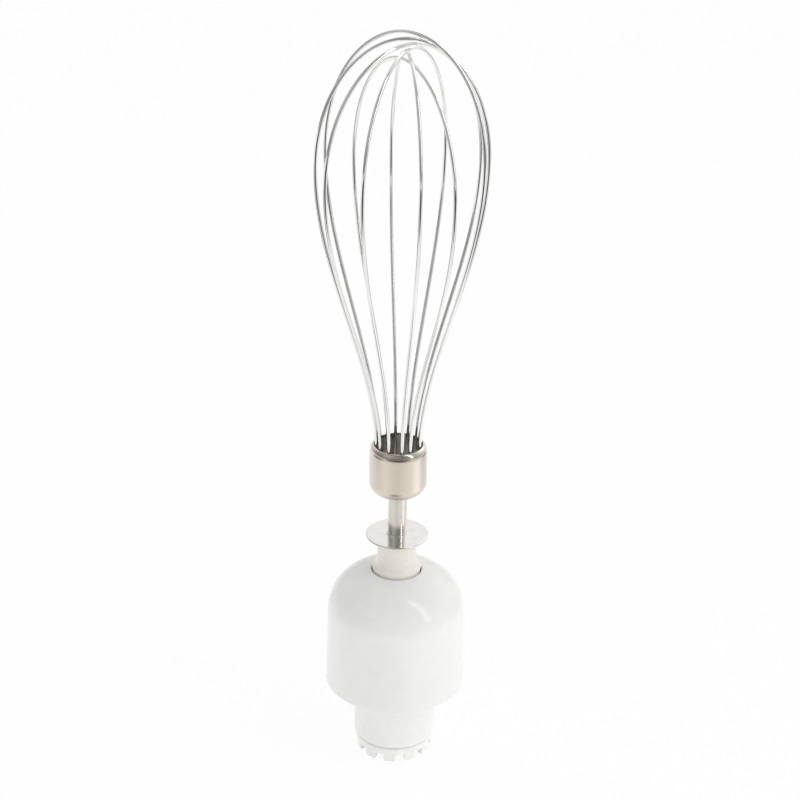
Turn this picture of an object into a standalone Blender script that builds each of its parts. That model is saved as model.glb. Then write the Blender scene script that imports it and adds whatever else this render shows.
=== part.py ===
# Whisk attachment for a stick blender: a planetary gearbox collar with a push-in balloon whisk.
# Metres, +Z up. It stands on its toothed coupling ring, and Z is the axis of every shaft.
import math

import bmesh
import bpy

MM = 0.001

# Clearances
SEAT_GAP = 0.3 * MM          # between pieces that rest on or in each other
RUN_GAP = 0.2 * MM           # round a journal that turns
FLANK_GAP = 0.12 * MM        # taken off each gear tooth's thickness, as backlash

# Coupling ring: the toothed ring that keys into the motor handle
RING_TIP_RADIUS = 13.4 * MM
RING_TOP_RADIUS = 14.1 * MM
RING_WALL = 2.0 * MM
RING_HEIGHT = 6.2 * MM
RING_TEETH = 11
RING_TOOTH_DEPTH = 2.7 * MM
RING_TOOTH_GAP = 3.3 * MM
RING_TOOTH_AZIMUTH = -96.5   # degrees, the tooth next to the front
SLEEVE_LENGTH = 5.8 * MM

# Spigot and flange: the base moulding
SPIGOT_RADIUS = 14.6 * MM
SPIGOT_WALL = 2.0 * MM
SPIGOT_LENGTH = 22.3 * MM
FLANGE_RECESS = 1.0 * MM
FLANGE_THICKNESS = 3.2 * MM
BASE_RIBS = 6
BASE_RIB_WIDTH = 1.2 * MM
BASE_RIB_DEPTH = 5.0 * MM

# Cover: the domed shell
COVER_RADIUS = 24.4 * MM
COVER_FLARE = 0.6 * MM
COVER_SIDE_HEIGHT = 27.2 * MM
COVER_DOME_HEIGHT = 18.8 * MM
COVER_DOME_POWER = 2.3
COVER_WALL = 2.0 * MM
COVER_EDGE_ROUND = 0.8 * MM
COVER_BOSS_WALL = 2.2 * MM
COVER_RIM_CHAMFER = 0.3 * MM

# Gears
SUN_TEETH = 12
PLANET_TEETH = 18
INTERNAL_TEETH = SUN_TEETH + 2 * PLANET_TEETH
PRESSURE_ANGLE = math.radians(25.0)
ADDENDUM = 1.0               # in modules
DEDENDUM = 1.25              # in modules
GEAR_WIDTH = 8.0 * MM
PLANET_AZIMUTHS = (90.0, 210.0, 330.0)

# Screws that clamp base, internal gear and cover together
SCREW_RADIUS = 1.1 * MM
SCREW_HEAD_RADIUS = 1.8 * MM
SCREW_HEAD_HEIGHT = 1.2 * MM
SCREW_RECESS_DEPTH = 1.8 * MM
SCREW_SIDE_WALL = 0.8 * MM
SCREW_BITE = 8.4 * MM
SCREW_BOSS_WALL = 1.6 * MM
SCREW_CROSS_WIDTH = 0.6 * MM
SCREW_CROSS_DEPTH = 0.7 * MM
SCREW_AZIMUTHS = (30.0, 150.0, 270.0)

# Drive side
DRIVE_SHAFT_RADIUS = 1.75 * MM
DRIVE_FLAT = 0.45 * MM       # depth of the flat that keys the shaft
DRIVE_BUSH_WALL = 2.25 * MM
DRIVE_HUB_WALL = 2.1 * MM
DRIVE_HUB_LENGTH = 11.0 * MM
BUSH_FLANGE_THICKNESS = 0.8 * MM
BUSH_FLANGE_WIDTH = 1.8 * MM
CLIP_THICKNESS = 0.6 * MM
CLIP_WIDTH = 1.6 * MM
CLIP_GROOVE_DEPTH = 0.6 * MM
DRIVE_SOCKET_HEX_RADIUS = 3.6 * MM
DRIVE_SOCKET_WALL = 2.0 * MM
DRIVE_SOCKET_DEPTH = 6.6 * MM
DRIVE_SOCKET_LENGTH = 13.4 * MM
DRIVE_SOCKET_WEB = 0.8 * MM

# Planet carrier
WASHER_THICKNESS = 0.5 * MM
WASHER_WIDTH = 6.0 * MM
CARRIER_PLATE_THICKNESS = 1.5 * MM
CARRIER_DISC_THICKNESS = 3.0 * MM
CARRIER_EDGE_GAP = 1.1 * MM
PLANET_PIN_RADIUS = 1.5 * MM
PLANET_PIN_SEAT = 2.0 * MM
POST_RADIUS = 2.5 * MM
POST_PEG_RADIUS = 1.5 * MM
STEM_SHOULDER = 2.1 * MM
SHAFT_SOCKET_FLOOR = 4.5 * MM
INTERNAL_GEAR_MARGIN = 1.1 * MM

# Neck: the flared output collar
NECK_LIP_RADIUS = 8.7 * MM
NECK_TOP_RADIUS = 6.85 * MM
NECK_HEIGHT = 11.7 * MM
NECK_LIP_RISE = 1.15 * MM    # of the flare's lip above the cover's rim
NECK_SKIRT = 3.35 * MM       # straight part below the lip
NECK_FLARE_POWER = 7.0
NECK_SHOULDER = 2.5 * MM
OUTPUT_BUSH_WALL = 1.5 * MM
OUTPUT_BUSH_LENGTH = 11.7 * MM
OUTPUT_BUSH_FLANGE = 1.2 * MM
SEAL_HEIGHT = 2.2 * MM
SEAL_SKIN = 0.7 * MM
SPRING_WIRE_RADIUS = 0.5 * MM
SPRING_OPENING = 50.0        # degrees
SPRING_SIDES = 8             # of the wire's section

# Whisk
WHISK_SHAFT_RADIUS = 3.25 * MM
WHISK_HEX_RADIUS = 3.0 * MM
WHISK_HEX_LENGTH = 14.0 * MM
DISC_RADIUS = 11.0 * MM
DISC_THICKNESS = 0.7 * MM
DISC_COLLAR_WIDTH = 0.5 * MM
DISC_COLLAR_HEIGHT = 0.5 * MM
SHAFT_EXPOSED = 16.2 * MM
CUP_RADIUS = 9.95 * MM
CUP_WALL = 0.7 * MM
CUP_HEIGHT = 18.9 * MM
CUP_FLOOR_RADIUS = 4.6 * MM
CUP_CORNER_HEIGHT = 4.6 * MM
CUP_RIM_INSET = 1.45 * MM
CUP_RIM_HEIGHT = 2.7 * MM
PLUG_THICKNESS = 4.6 * MM
PLUG_SKIN = 1.2 * MM

# Wires
WIRE_RADIUS = 0.625 * MM
WIRE_RIM_GAP = 0.375 * MM
WIRE_SEAT_DEPTH = 3.2 * MM
WIRE_STRAIGHT = 3.9 * MM     # below the cup's mouth, where the wires begin to open
WIRE_CROSSING_GAP = 0.4 * MM
WIRE_TOP_HEIGHT = 143.5 * MM         # the highest loop's centre line above the cup's mouth
WIRE_WIDEST_HEIGHT = 98.1 * MM       # above the cup's mouth
WIRE_LOWER_PULL = 35.0 * MM
WIRE_UPPER_PULL = 36.5 * MM
WIRE_CROWN_RISE = 0.61
WIRE_CROWN_REACH = 0.50
WIRE_HALF_WIDTH = 31.5 * MM
# Each loop, highest first: azimuth in degrees, then half width, lean, rise of the widest place
# and twist, as shares of WIRE_HALF_WIDTH
WIRE_LOOPS = (
    (-19.8, 0.873, -0.006, 0.121, 0.041),
    (9.8, 0.905, -0.002, 0.057, -0.010),
    (35.9, 0.984, -0.003, -0.010, -0.041),
    (65.1, 1.0, -0.006, -0.013, -0.035),
    (98.9, 1.0, -0.005, -0.048, -0.025),
    (121.7, 1.0, -0.016, -0.117, 0.010),
)

# Facets
FINE_STEPS = 36
MEDIUM_STEPS = 28
SMALL_STEPS = 14
OVERCUT = 1.0 * MM           # how far a cutter runs past the face it opens

# Heights that follow from the sizes above
SPIGOT_BOTTOM = RING_HEIGHT + SEAT_GAP
COVER_BOTTOM = SPIGOT_BOTTOM + SPIGOT_LENGTH
COVER_SHOULDER = COVER_BOTTOM + COVER_SIDE_HEIGHT
FLANGE_BOTTOM = COVER_BOTTOM + FLANGE_RECESS
FLANGE_TOP = FLANGE_BOTTOM + FLANGE_THICKNESS
WASHER_BOTTOM = FLANGE_TOP + SEAT_GAP
PLATE_BOTTOM = WASHER_BOTTOM + WASHER_THICKNESS + SEAT_GAP
PLATE_TOP = PLATE_BOTTOM + CARRIER_PLATE_THICKNESS
GEAR_BOTTOM = PLATE_TOP + SEAT_GAP
GEAR_TOP = GEAR_BOTTOM + GEAR_WIDTH
CARRIER_BOTTOM = GEAR_TOP + SEAT_GAP
CARRIER_TOP = CARRIER_BOTTOM + CARRIER_DISC_THICKNESS
INTERNAL_GEAR_TOP = CARRIER_BOTTOM + INTERNAL_GEAR_MARGIN
UPPER_WASHER_BOTTOM = CARRIER_TOP + SEAT_GAP
OUTPUT_BUSH_BOTTOM = UPPER_WASHER_BOTTOM + WASHER_THICKNESS + SEAT_GAP
COVER_BOSS_BOTTOM = OUTPUT_BUSH_BOTTOM + OUTPUT_BUSH_FLANGE + SEAT_GAP

# Radii that follow
SPIGOT_BORE = SPIGOT_RADIUS - SPIGOT_WALL
SLEEVE_RADIUS = SPIGOT_BORE - SEAT_GAP
RING_BORE = RING_TIP_RADIUS - RING_WALL
COVER_INNER_RADIUS = COVER_RADIUS - COVER_WALL
FLANGE_RADIUS = COVER_INNER_RADIUS + SEAT_GAP * 0.5
INTERNAL_GEAR_RADIUS = COVER_INNER_RADIUS - SEAT_GAP
SCREW_HOLE_RADIUS = SCREW_RADIUS + SEAT_GAP
INTERNAL_ROOT_RADIUS = INTERNAL_GEAR_RADIUS - 2 * (SCREW_HOLE_RADIUS + SCREW_SIDE_WALL)
SCREW_CIRCLE = INTERNAL_GEAR_RADIUS - SCREW_SIDE_WALL - SCREW_HOLE_RADIUS
MODULE = INTERNAL_ROOT_RADIUS / (INTERNAL_TEETH / 2 + DEDENDUM)
SUN_PITCH_RADIUS = MODULE * SUN_TEETH / 2
PLANET_PITCH_RADIUS = MODULE * PLANET_TEETH / 2
INTERNAL_PITCH_RADIUS = MODULE * INTERNAL_TEETH / 2
GEAR_CENTRES = SUN_PITCH_RADIUS + PLANET_PITCH_RADIUS
SUN_TIP_RADIUS = SUN_PITCH_RADIUS + ADDENDUM * MODULE
CARRIER_RADIUS = INTERNAL_PITCH_RADIUS - ADDENDUM * MODULE - CARRIER_EDGE_GAP
COVER_HOLE_RADIUS = NECK_LIP_RADIUS + SEAT_GAP
OUTPUT_BUSH_RADIUS = COVER_HOLE_RADIUS - SEAT_GAP
HUB_RADIUS = OUTPUT_BUSH_RADIUS - OUTPUT_BUSH_WALL - RUN_GAP
STEM_RADIUS = HUB_RADIUS - STEM_SHOULDER
WHISK_BORE_RADIUS = WHISK_SHAFT_RADIUS + SEAT_GAP
DRIVE_BUSH_BORE = DRIVE_SHAFT_RADIUS + RUN_GAP
DRIVE_BUSH_RADIUS = DRIVE_BUSH_BORE + DRIVE_BUSH_WALL
DRIVE_HUB_BORE = DRIVE_BUSH_RADIUS + SEAT_GAP
DRIVE_HUB_RADIUS = DRIVE_HUB_BORE + DRIVE_HUB_WALL
DRIVE_KEY_BORE = DRIVE_SHAFT_RADIUS + SEAT_GAP
DRIVE_SOCKET_RADIUS = DRIVE_SOCKET_HEX_RADIUS + DRIVE_SOCKET_WALL
PLUG_RADIUS = CUP_RADIUS - CUP_WALL - SEAT_GAP
CUP_MOUTH_RADIUS = CUP_RADIUS - CUP_RIM_INSET
WIRE_SEAT_RADIUS = CUP_MOUTH_RADIUS - WIRE_RIM_GAP - WIRE_RADIUS


def dome_height(radius, wall=0.0):
    # Superellipse: (radius / a)^p + (height / b)^p = 1, with both half axes less by the wall
    share = min(radius / (COVER_RADIUS - wall), 1.0)
    rise = (1.0 - share ** COVER_DOME_POWER) ** (1.0 / COVER_DOME_POWER)
    return COVER_SHOULDER + (COVER_DOME_HEIGHT - wall) * rise


# Heights above the dome's rim
RIM_HEIGHT = dome_height(COVER_HOLE_RADIUS)
NECK_FOOT = RIM_HEIGHT + NECK_LIP_RISE
NECK_BOTTOM = NECK_FOOT - NECK_SKIRT
NECK_TOP = NECK_FOOT + NECK_HEIGHT
HUB_TOP = NECK_BOTTOM - SEAT_GAP
SEAL_TOP = HUB_TOP - SEAT_GAP
SPRING_HEIGHT = NECK_TOP - NECK_SHOULDER - SEAT_GAP - SPRING_WIRE_RADIUS
STEM_TOP = SPRING_HEIGHT - SPRING_WIRE_RADIUS - SEAT_GAP
SHAFT_SOCKET_BOTTOM = CARRIER_TOP + SHAFT_SOCKET_FLOOR
SHAFT_BOTTOM = SHAFT_SOCKET_BOTTOM + SEAT_GAP
HEX_TOP = SHAFT_BOTTOM + WHISK_HEX_LENGTH
DISC_BOTTOM = NECK_TOP + SEAT_GAP
DISC_TOP = DISC_BOTTOM + DISC_THICKNESS
CUP_BOTTOM = DISC_TOP + SHAFT_EXPOSED
CUP_TOP = CUP_BOTTOM + CUP_HEIGHT
PLUG_BOTTOM = CUP_BOTTOM + CUP_CORNER_HEIGHT + SEAT_GAP
PLUG_TOP = PLUG_BOTTOM + PLUG_THICKNESS
SHAFT_TOP = PLUG_TOP - PLUG_SKIN - SEAT_GAP
WIRE_END = PLUG_TOP - WIRE_SEAT_DEPTH + SEAT_GAP
CLIP_BOTTOM = (FLANGE_TOP - DRIVE_HUB_LENGTH - SEAT_GAP - BUSH_FLANGE_THICKNESS
               - SEAT_GAP - CLIP_THICKNESS)
DRIVE_SOCKET_TOP = CLIP_BOTTOM - 2 * SEAT_GAP
DRIVE_SOCKET_BOTTOM = DRIVE_SOCKET_TOP - DRIVE_SOCKET_LENGTH

# Finishes: colour, roughness, metallic
FINISHES = {
    "white plastic": ((0.82, 0.83, 0.83), 0.32, 0.0),
    "natural plastic": ((0.78, 0.76, 0.69), 0.40, 0.0),
    "grey plastic": ((0.30, 0.31, 0.32), 0.45, 0.0),
    "polished steel": ((0.72, 0.70, 0.68), 0.14, 1.0),
    "drawn wire": ((0.66, 0.65, 0.64), 0.25, 1.0),
    "plain steel": ((0.55, 0.55, 0.56), 0.35, 1.0),
    "sintered bronze": ((0.60, 0.42, 0.24), 0.50, 1.0),
    "black rubber": ((0.03, 0.03, 0.03), 0.70, 0.0),
}


def clear_scene():
    for item in list(bpy.data.objects):
        bpy.data.objects.remove(item, do_unlink=True)


def make_empty(name, parent=None, location=(0.0, 0.0, 0.0)):
    empty = bpy.data.objects.new(name, None)
    empty.location = location
    empty.parent = parent
    bpy.context.scene.collection.objects.link(empty)
    return empty


def add_finish(item, finish):
    colour, roughness, metallic = FINISHES[finish]
    material = bpy.data.materials.new(item.name + " " + finish)
    material.use_nodes = True
    shader = material.node_tree.nodes["Principled BSDF"]
    shader.inputs["Base Color"].default_value = (*colour, 1.0)
    shader.inputs["Roughness"].default_value = roughness
    shader.inputs["Metallic"].default_value = metallic
    material.diffuse_color = (*colour, 1.0)
    item.data.materials.append(material)


def add_mesh(name, shape, parent=None, finish=None):
    # Takes over a bmesh as a named object. Without a finish it is a cutter or a guide.
    bmesh.ops.recalc_face_normals(shape, faces=shape.faces)
    mesh = bpy.data.meshes.new(name)
    shape.to_mesh(mesh)
    shape.free()
    mesh.shade_smooth()
    mesh.set_sharp_from_angle(angle=math.radians(35.0))
    item = bpy.data.objects.new(name, mesh)
    item.parent = parent
    bpy.context.scene.collection.objects.link(item)
    if finish:
        add_finish(item, finish)
    else:
        item.hide_render = True
        item.display_type = "WIRE"
    return item


def combine(item, other, operation="DIFFERENCE"):
    modifier = item.modifiers.new(other.name, "BOOLEAN")
    modifier.operation = operation
    modifier.solver = "EXACT"
    modifier.object = other
    return item


def polar(radius, degrees):
    angle = math.radians(degrees)
    return radius * math.cos(angle), radius * math.sin(angle)


def arc(radius, height, reach, rise, start, stop, count):
    # Points of an elliptic arc about (radius, height), angles in degrees from +X towards +Z
    angles = [math.radians(start + (stop - start) * i / count) for i in range(count + 1)]
    return [(radius + reach * math.cos(a), height + rise * math.sin(a)) for a in angles]


def spin_profile(shape, profile, steps, centre=(0.0, 0.0)):
    # Turns a closed (radius, height) profile about a vertical axis through centre
    x, y = centre
    corners = [shape.verts.new((x + r, y, z)) for r, z in profile]
    sides = [shape.edges.new((a, b)) for a, b in zip(corners, corners[1:] + corners[:1])
             if abs(a.co.x - x) > 1e-9 or abs(b.co.x - x) > 1e-9]
    bmesh.ops.spin(shape, geom=corners + sides, cent=(x, y, 0.0), axis=(0.0, 0.0, 1.0),
                   angle=2 * math.pi, steps=steps, use_merge=True)
    bmesh.ops.remove_doubles(shape, verts=shape.verts, dist=1e-7)


def turned(name, profile, steps=MEDIUM_STEPS, parent=None, finish=None, centres=((0.0, 0.0),)):
    shape = bmesh.new()
    for centre in centres:
        spin_profile(shape, profile, steps, centre)
    return add_mesh(name, shape, parent, finish)


def tube(inner, outer, bottom, top):
    return [(outer, bottom), (outer, top), (inner, top), (inner, bottom)]


def rod(radius, bottom, top):
    return [(0.0, bottom), (radius, bottom), (radius, top), (0.0, top)]


def prism(name, outlines, bottom, top, parent=None, finish=None):
    # Straight solid over each closed (x, y) outline
    shape = bmesh.new()
    for outline in outlines:
        face = shape.faces.new([shape.verts.new((x, y, bottom)) for x, y in outline])
        raised = bmesh.ops.extrude_face_region(shape, geom=[face])["geom"]
        lifted = [v for v in raised if isinstance(v, bmesh.types.BMVert)]
        bmesh.ops.translate(shape, verts=lifted, vec=(0.0, 0.0, top - bottom))
    return add_mesh(name, shape, parent, finish)


def polygon(radius, count, turn=0.0):
    return [polar(radius, turn + 360.0 * i / count) for i in range(count)]


def bar(inner, outer, width, degrees):
    # Rectangle that runs outwards along an azimuth
    angle = math.radians(degrees)
    along = (math.cos(angle), math.sin(angle))
    across = (-along[1], along[0])
    corners = ((inner, -0.5), (outer, -0.5), (outer, 0.5), (inner, 0.5))
    return [(u * along[0] + v * width * across[0], u * along[1] + v * width * across[1])
            for u, v in corners]


def flatted_circle(radius, flat, steps=SMALL_STEPS):
    # Circle with one flat at +X, cut in by flat
    half = math.degrees(math.acos((radius - flat) / radius))
    return [polar(radius, half + (360.0 - 2 * half) * i / steps) for i in range(steps + 1)]


def involute(angle):
    return math.tan(angle) - angle


def gear_outline(teeth, root, tip, thinning, turn=0.0):
    # Involute flanks: half angle at radius r is pi/2z + inv(pressure) - inv(acos(base/r))
    pitch = MODULE * teeth / 2
    base = pitch * math.cos(PRESSURE_ANGLE)
    half_pitch = math.pi / (2 * teeth) - thinning / (2 * pitch)
    start = max(root, base)
    flank = [start + (tip - start) * share for share in (0.0, 0.5, 1.0)]
    halves = [half_pitch + involute(PRESSURE_ANGLE) - involute(math.acos(base / r)) for r in flank]
    if root < start:
        flank = [root] + flank
        halves = [halves[0]] + halves
    points = []
    for tooth in range(teeth):
        middle = math.radians(turn) + 2 * math.pi * tooth / teeth
        for side, order in ((-1, 1), (1, -1)):
            for r, half in list(zip(flank, halves))[::order]:
                angle = middle + side * half
                points.append((r * math.cos(angle), r * math.sin(angle)))
    return points


def build_coupling_ring(parent):
    shoulder = SPIGOT_BOTTOM - SEAT_GAP
    profile = [(RING_TIP_RADIUS, 0.0), (RING_TOP_RADIUS, shoulder), (SLEEVE_RADIUS, shoulder),
               (SLEEVE_RADIUS, shoulder + SLEEVE_LENGTH), (RING_BORE, shoulder + SLEEVE_LENGTH),
               (RING_BORE, 0.0)]
    ring = turned("coupling_ring", profile, 4 * RING_TEETH, parent, "white plastic")
    pitch = 360.0 / RING_TEETH
    gaps = [bar(RING_BORE - OVERCUT, RING_TOP_RADIUS + OVERCUT, RING_TOOTH_GAP,
                RING_TOOTH_AZIMUTH + pitch * (i + 0.5)) for i in range(RING_TEETH)]
    combine(ring, prism("tooth_gaps", gaps, -OVERCUT, RING_TOOTH_DEPTH, parent))


def build_housing_base(parent):
    ceiling = FLANGE_BOTTOM
    hub_bottom = FLANGE_TOP - DRIVE_HUB_LENGTH
    profile = [(FLANGE_RADIUS, FLANGE_TOP), (FLANGE_RADIUS, FLANGE_BOTTOM),
               (SPIGOT_RADIUS, FLANGE_BOTTOM), (SPIGOT_RADIUS, SPIGOT_BOTTOM),
               (SPIGOT_BORE, SPIGOT_BOTTOM), (SPIGOT_BORE, ceiling), (DRIVE_HUB_RADIUS, ceiling),
               (DRIVE_HUB_RADIUS, hub_bottom), (DRIVE_HUB_BORE, hub_bottom),
               (DRIVE_HUB_BORE, FLANGE_TOP)]
    base = turned("housing_base", profile, FINE_STEPS, parent, "white plastic")
    reach = SPIGOT_WALL / 2
    ribs = [bar(DRIVE_HUB_RADIUS - reach, SPIGOT_BORE + reach, BASE_RIB_WIDTH, 360.0 * i / BASE_RIBS)
            for i in range(BASE_RIBS)]
    combine(base, prism("base_ribs", ribs, ceiling - BASE_RIB_DEPTH, ceiling + OVERCUT, parent),
            "UNION")
    ledge = FLANGE_BOTTOM + SCREW_RECESS_DEPTH
    head = SCREW_HEAD_RADIUS + SEAT_GAP
    screw_way = [(0.0, FLANGE_BOTTOM - OVERCUT), (head, FLANGE_BOTTOM - OVERCUT), (head, ledge),
                 (SCREW_HOLE_RADIUS, ledge), (SCREW_HOLE_RADIUS, FLANGE_TOP + OVERCUT),
                 (0.0, FLANGE_TOP + OVERCUT)]
    centres = [polar(SCREW_CIRCLE, a) for a in SCREW_AZIMUTHS]
    combine(base, turned("screw_ways", screw_way, SMALL_STEPS, parent, centres=centres))


def cover_outline(wall, bottom, count):
    # Side and dome, from the bottom up to the axis
    side = [(COVER_RADIUS + COVER_FLARE - wall, bottom), (COVER_RADIUS - wall, COVER_SHOULDER)]
    dome = []
    for i in range(1, count):
        radius = (COVER_RADIUS - wall) * math.cos(math.pi / 2 * i / count) ** (2 / COVER_DOME_POWER)
        dome.append((radius, dome_height(radius, wall)))
    return side + dome + [(0.0, dome_height(0.0, wall))]


def build_bell_cover(parent):
    edge = COVER_EDGE_ROUND
    skirt = COVER_RADIUS + COVER_FLARE
    rim = arc(skirt - edge, COVER_BOTTOM + edge, edge, edge, -90.0, 0.0, 2)
    outside = [(0.0, COVER_BOTTOM)] + rim + cover_outline(0.0, COVER_BOTTOM, 9)[1:]
    cover = turned("bell_cover", outside, FINE_STEPS, parent, "white plastic")

    boss = COVER_HOLE_RADIUS + COVER_BOSS_WALL
    ceiling = [p for p in cover_outline(COVER_WALL, COVER_BOTTOM - OVERCUT, 6) if p[0] > boss]
    inside = ([(0.0, COVER_BOTTOM - OVERCUT)] + ceiling
              + [(boss, dome_height(boss, COVER_WALL)), (boss, COVER_BOSS_BOTTOM),
                 (0.0, COVER_BOSS_BOTTOM)])
    cavity = turned("cover_cavity", inside, FINE_STEPS, parent)
    centres = [polar(SCREW_CIRCLE, a) for a in SCREW_AZIMUTHS]
    boss_bottom = INTERNAL_GEAR_TOP + SEAT_GAP
    boss_radius = SCREW_HOLE_RADIUS + SCREW_BOSS_WALL
    bosses = turned("screw_bosses", rod(boss_radius, boss_bottom, RIM_HEIGHT + OVERCUT), SMALL_STEPS,
                    parent, centres=centres)
    combine(cavity, bosses)
    combine(cover, cavity)

    chamfer = COVER_RIM_CHAMFER
    bore = [(0.0, COVER_BOSS_BOTTOM - OVERCUT), (COVER_HOLE_RADIUS, COVER_BOSS_BOTTOM - OVERCUT),
            (COVER_HOLE_RADIUS, RIM_HEIGHT - chamfer),
            (COVER_HOLE_RADIUS + chamfer + OVERCUT, RIM_HEIGHT + OVERCUT),
            (0.0, RIM_HEIGHT + COVER_WALL)]
    combine(cover, turned("cover_bore", bore, FINE_STEPS, parent))
    holes = turned("boss_holes", rod(SCREW_HOLE_RADIUS, boss_bottom - OVERCUT,
                                     boss_bottom + SCREW_BITE + SEAT_GAP), SMALL_STEPS, parent,
                   centres=centres)
    combine(cover, holes)


def build_internal_gear(parent):
    bottom = FLANGE_TOP + SEAT_GAP
    ring = turned("internal_gear", rod(INTERNAL_GEAR_RADIUS, bottom, INTERNAL_GEAR_TOP), FINE_STEPS,
                  parent, "natural plastic")
    # The tooth spaces are the teeth of an outward gear, so a space faces away from each planet
    half_pitch = 180.0 / INTERNAL_TEETH
    space = gear_outline(INTERNAL_TEETH, INTERNAL_PITCH_RADIUS - ADDENDUM * MODULE,
                         INTERNAL_ROOT_RADIUS, -FLANK_GAP, PLANET_AZIMUTHS[0] + half_pitch)
    combine(ring, prism("tooth_spaces", [space], bottom - OVERCUT, INTERNAL_GEAR_TOP + OVERCUT,
                        parent))
    centres = [polar(SCREW_CIRCLE, a) for a in SCREW_AZIMUTHS]
    combine(ring, turned("gear_screw_holes", rod(SCREW_HOLE_RADIUS, bottom - OVERCUT,
                                                 INTERNAL_GEAR_TOP + OVERCUT), SMALL_STEPS, parent,
                         centres=centres))


def build_housing_screws(parent):
    head_bottom = FLANGE_BOTTOM + SCREW_RECESS_DEPTH - SEAT_GAP - SCREW_HEAD_HEIGHT
    head_top = head_bottom + SCREW_HEAD_HEIGHT
    tip = INTERNAL_GEAR_TOP + SEAT_GAP + SCREW_BITE
    point = SCREW_RADIUS
    profile = [(0.0, head_bottom), (SCREW_HEAD_RADIUS - SEAT_GAP, head_bottom),
               (SCREW_HEAD_RADIUS, head_bottom + SEAT_GAP), (SCREW_HEAD_RADIUS, head_top),
               (SCREW_RADIUS, head_top), (SCREW_RADIUS, tip - point), (0.0, tip)]
    for number, azimuth in enumerate(SCREW_AZIMUTHS, 1):
        x, y = polar(SCREW_CIRCLE, azimuth)
        axis = make_empty("screw_axis_%d" % number, parent, (x, y, 0.0))
        screw = turned("housing_screw_%d" % number, profile, SMALL_STEPS, axis, "plain steel")
        reach = SCREW_HEAD_RADIUS * 0.6
        width = SCREW_CROSS_WIDTH / 2
        cross = [(-reach, -width), (-width, -width), (-width, -reach), (width, -reach),
                 (width, -width), (reach, -width), (reach, width), (width, width),
                 (width, reach), (-width, reach), (-width, width), (-reach, width)]
        combine(screw, prism("cross_%d" % number, [cross], head_bottom - OVERCUT,
                             head_bottom + SCREW_CROSS_DEPTH, axis))


def build_drive_side(housing, drive):
    hub_bottom = FLANGE_TOP - DRIVE_HUB_LENGTH
    flange_top = hub_bottom - SEAT_GAP
    flange_bottom = flange_top - BUSH_FLANGE_THICKNESS
    bush = [(DRIVE_BUSH_BORE, flange_bottom), (DRIVE_BUSH_RADIUS + BUSH_FLANGE_WIDTH, flange_bottom),
            (DRIVE_BUSH_RADIUS + BUSH_FLANGE_WIDTH, flange_top), (DRIVE_BUSH_RADIUS, flange_top),
            (DRIVE_BUSH_RADIUS, FLANGE_TOP - SEAT_GAP), (DRIVE_BUSH_BORE, FLANGE_TOP - SEAT_GAP)]
    turned("input_bush", bush, MEDIUM_STEPS, housing, "sintered bronze")

    web_top = DRIVE_SOCKET_BOTTOM + DRIVE_SOCKET_DEPTH + DRIVE_SOCKET_WEB
    shaft_bottom = web_top + SEAT_GAP
    shaft_top = CARRIER_BOTTOM + SEAT_GAP * 4
    waist = DRIVE_SHAFT_RADIUS - CLIP_GROOVE_DEPTH
    groove = (CLIP_BOTTOM - SEAT_GAP, CLIP_BOTTOM + CLIP_THICKNESS + SEAT_GAP)
    shaft = turned("drive_shaft", [
        (0.0, shaft_bottom), (DRIVE_SHAFT_RADIUS, shaft_bottom), (DRIVE_SHAFT_RADIUS, groove[0]),
        (waist, groove[0]), (waist, groove[1]), (DRIVE_SHAFT_RADIUS, groove[1]),
        (DRIVE_SHAFT_RADIUS, shaft_top), (0.0, shaft_top)], SMALL_STEPS, drive, "plain steel")
    flat_line = DRIVE_SHAFT_RADIUS - DRIVE_FLAT
    flat = bar(flat_line, flat_line + DRIVE_SHAFT_RADIUS, 3 * DRIVE_SHAFT_RADIUS, 0.0)
    combine(shaft, prism("socket_flat", [flat], shaft_bottom - OVERCUT, groove[0], drive))
    combine(shaft, prism("sun_flat", [flat], GEAR_BOTTOM, shaft_top + OVERCUT, drive))

    key = flatted_circle(DRIVE_KEY_BORE, DRIVE_FLAT)
    sun = prism("sun_gear", [gear_outline(SUN_TEETH, SUN_PITCH_RADIUS - DEDENDUM * MODULE,
                                          SUN_TIP_RADIUS, FLANK_GAP, PLANET_AZIMUTHS[0])],
                GEAR_BOTTOM, GEAR_TOP, drive, "plain steel")
    combine(sun, prism("sun_key", [key], GEAR_BOTTOM - OVERCUT, GEAR_TOP + OVERCUT, drive))

    socket = turned("drive_socket", rod(DRIVE_SOCKET_RADIUS, DRIVE_SOCKET_BOTTOM, DRIVE_SOCKET_TOP),
                    MEDIUM_STEPS, drive, "grey plastic")
    combine(socket, prism("spindle_hex", [polygon(DRIVE_SOCKET_HEX_RADIUS, 6)],
                          DRIVE_SOCKET_BOTTOM - OVERCUT, DRIVE_SOCKET_BOTTOM + DRIVE_SOCKET_DEPTH,
                          drive))
    combine(socket, prism("socket_key", [key], web_top, DRIVE_SOCKET_TOP + OVERCUT, drive))

    clip_bore = waist + SEAT_GAP
    clip = turned("retaining_clip", tube(clip_bore, clip_bore + CLIP_WIDTH, CLIP_BOTTOM,
                                         CLIP_BOTTOM + CLIP_THICKNESS), SMALL_STEPS, drive,
                  "plain steel")
    opening = bar(0.0, clip_bore + 2 * CLIP_WIDTH, 1.6 * clip_bore, 0.0)
    combine(clip, prism("clip_opening", [opening], CLIP_BOTTOM - OVERCUT,
                        CLIP_BOTTOM + CLIP_THICKNESS + OVERCUT, drive))


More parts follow.
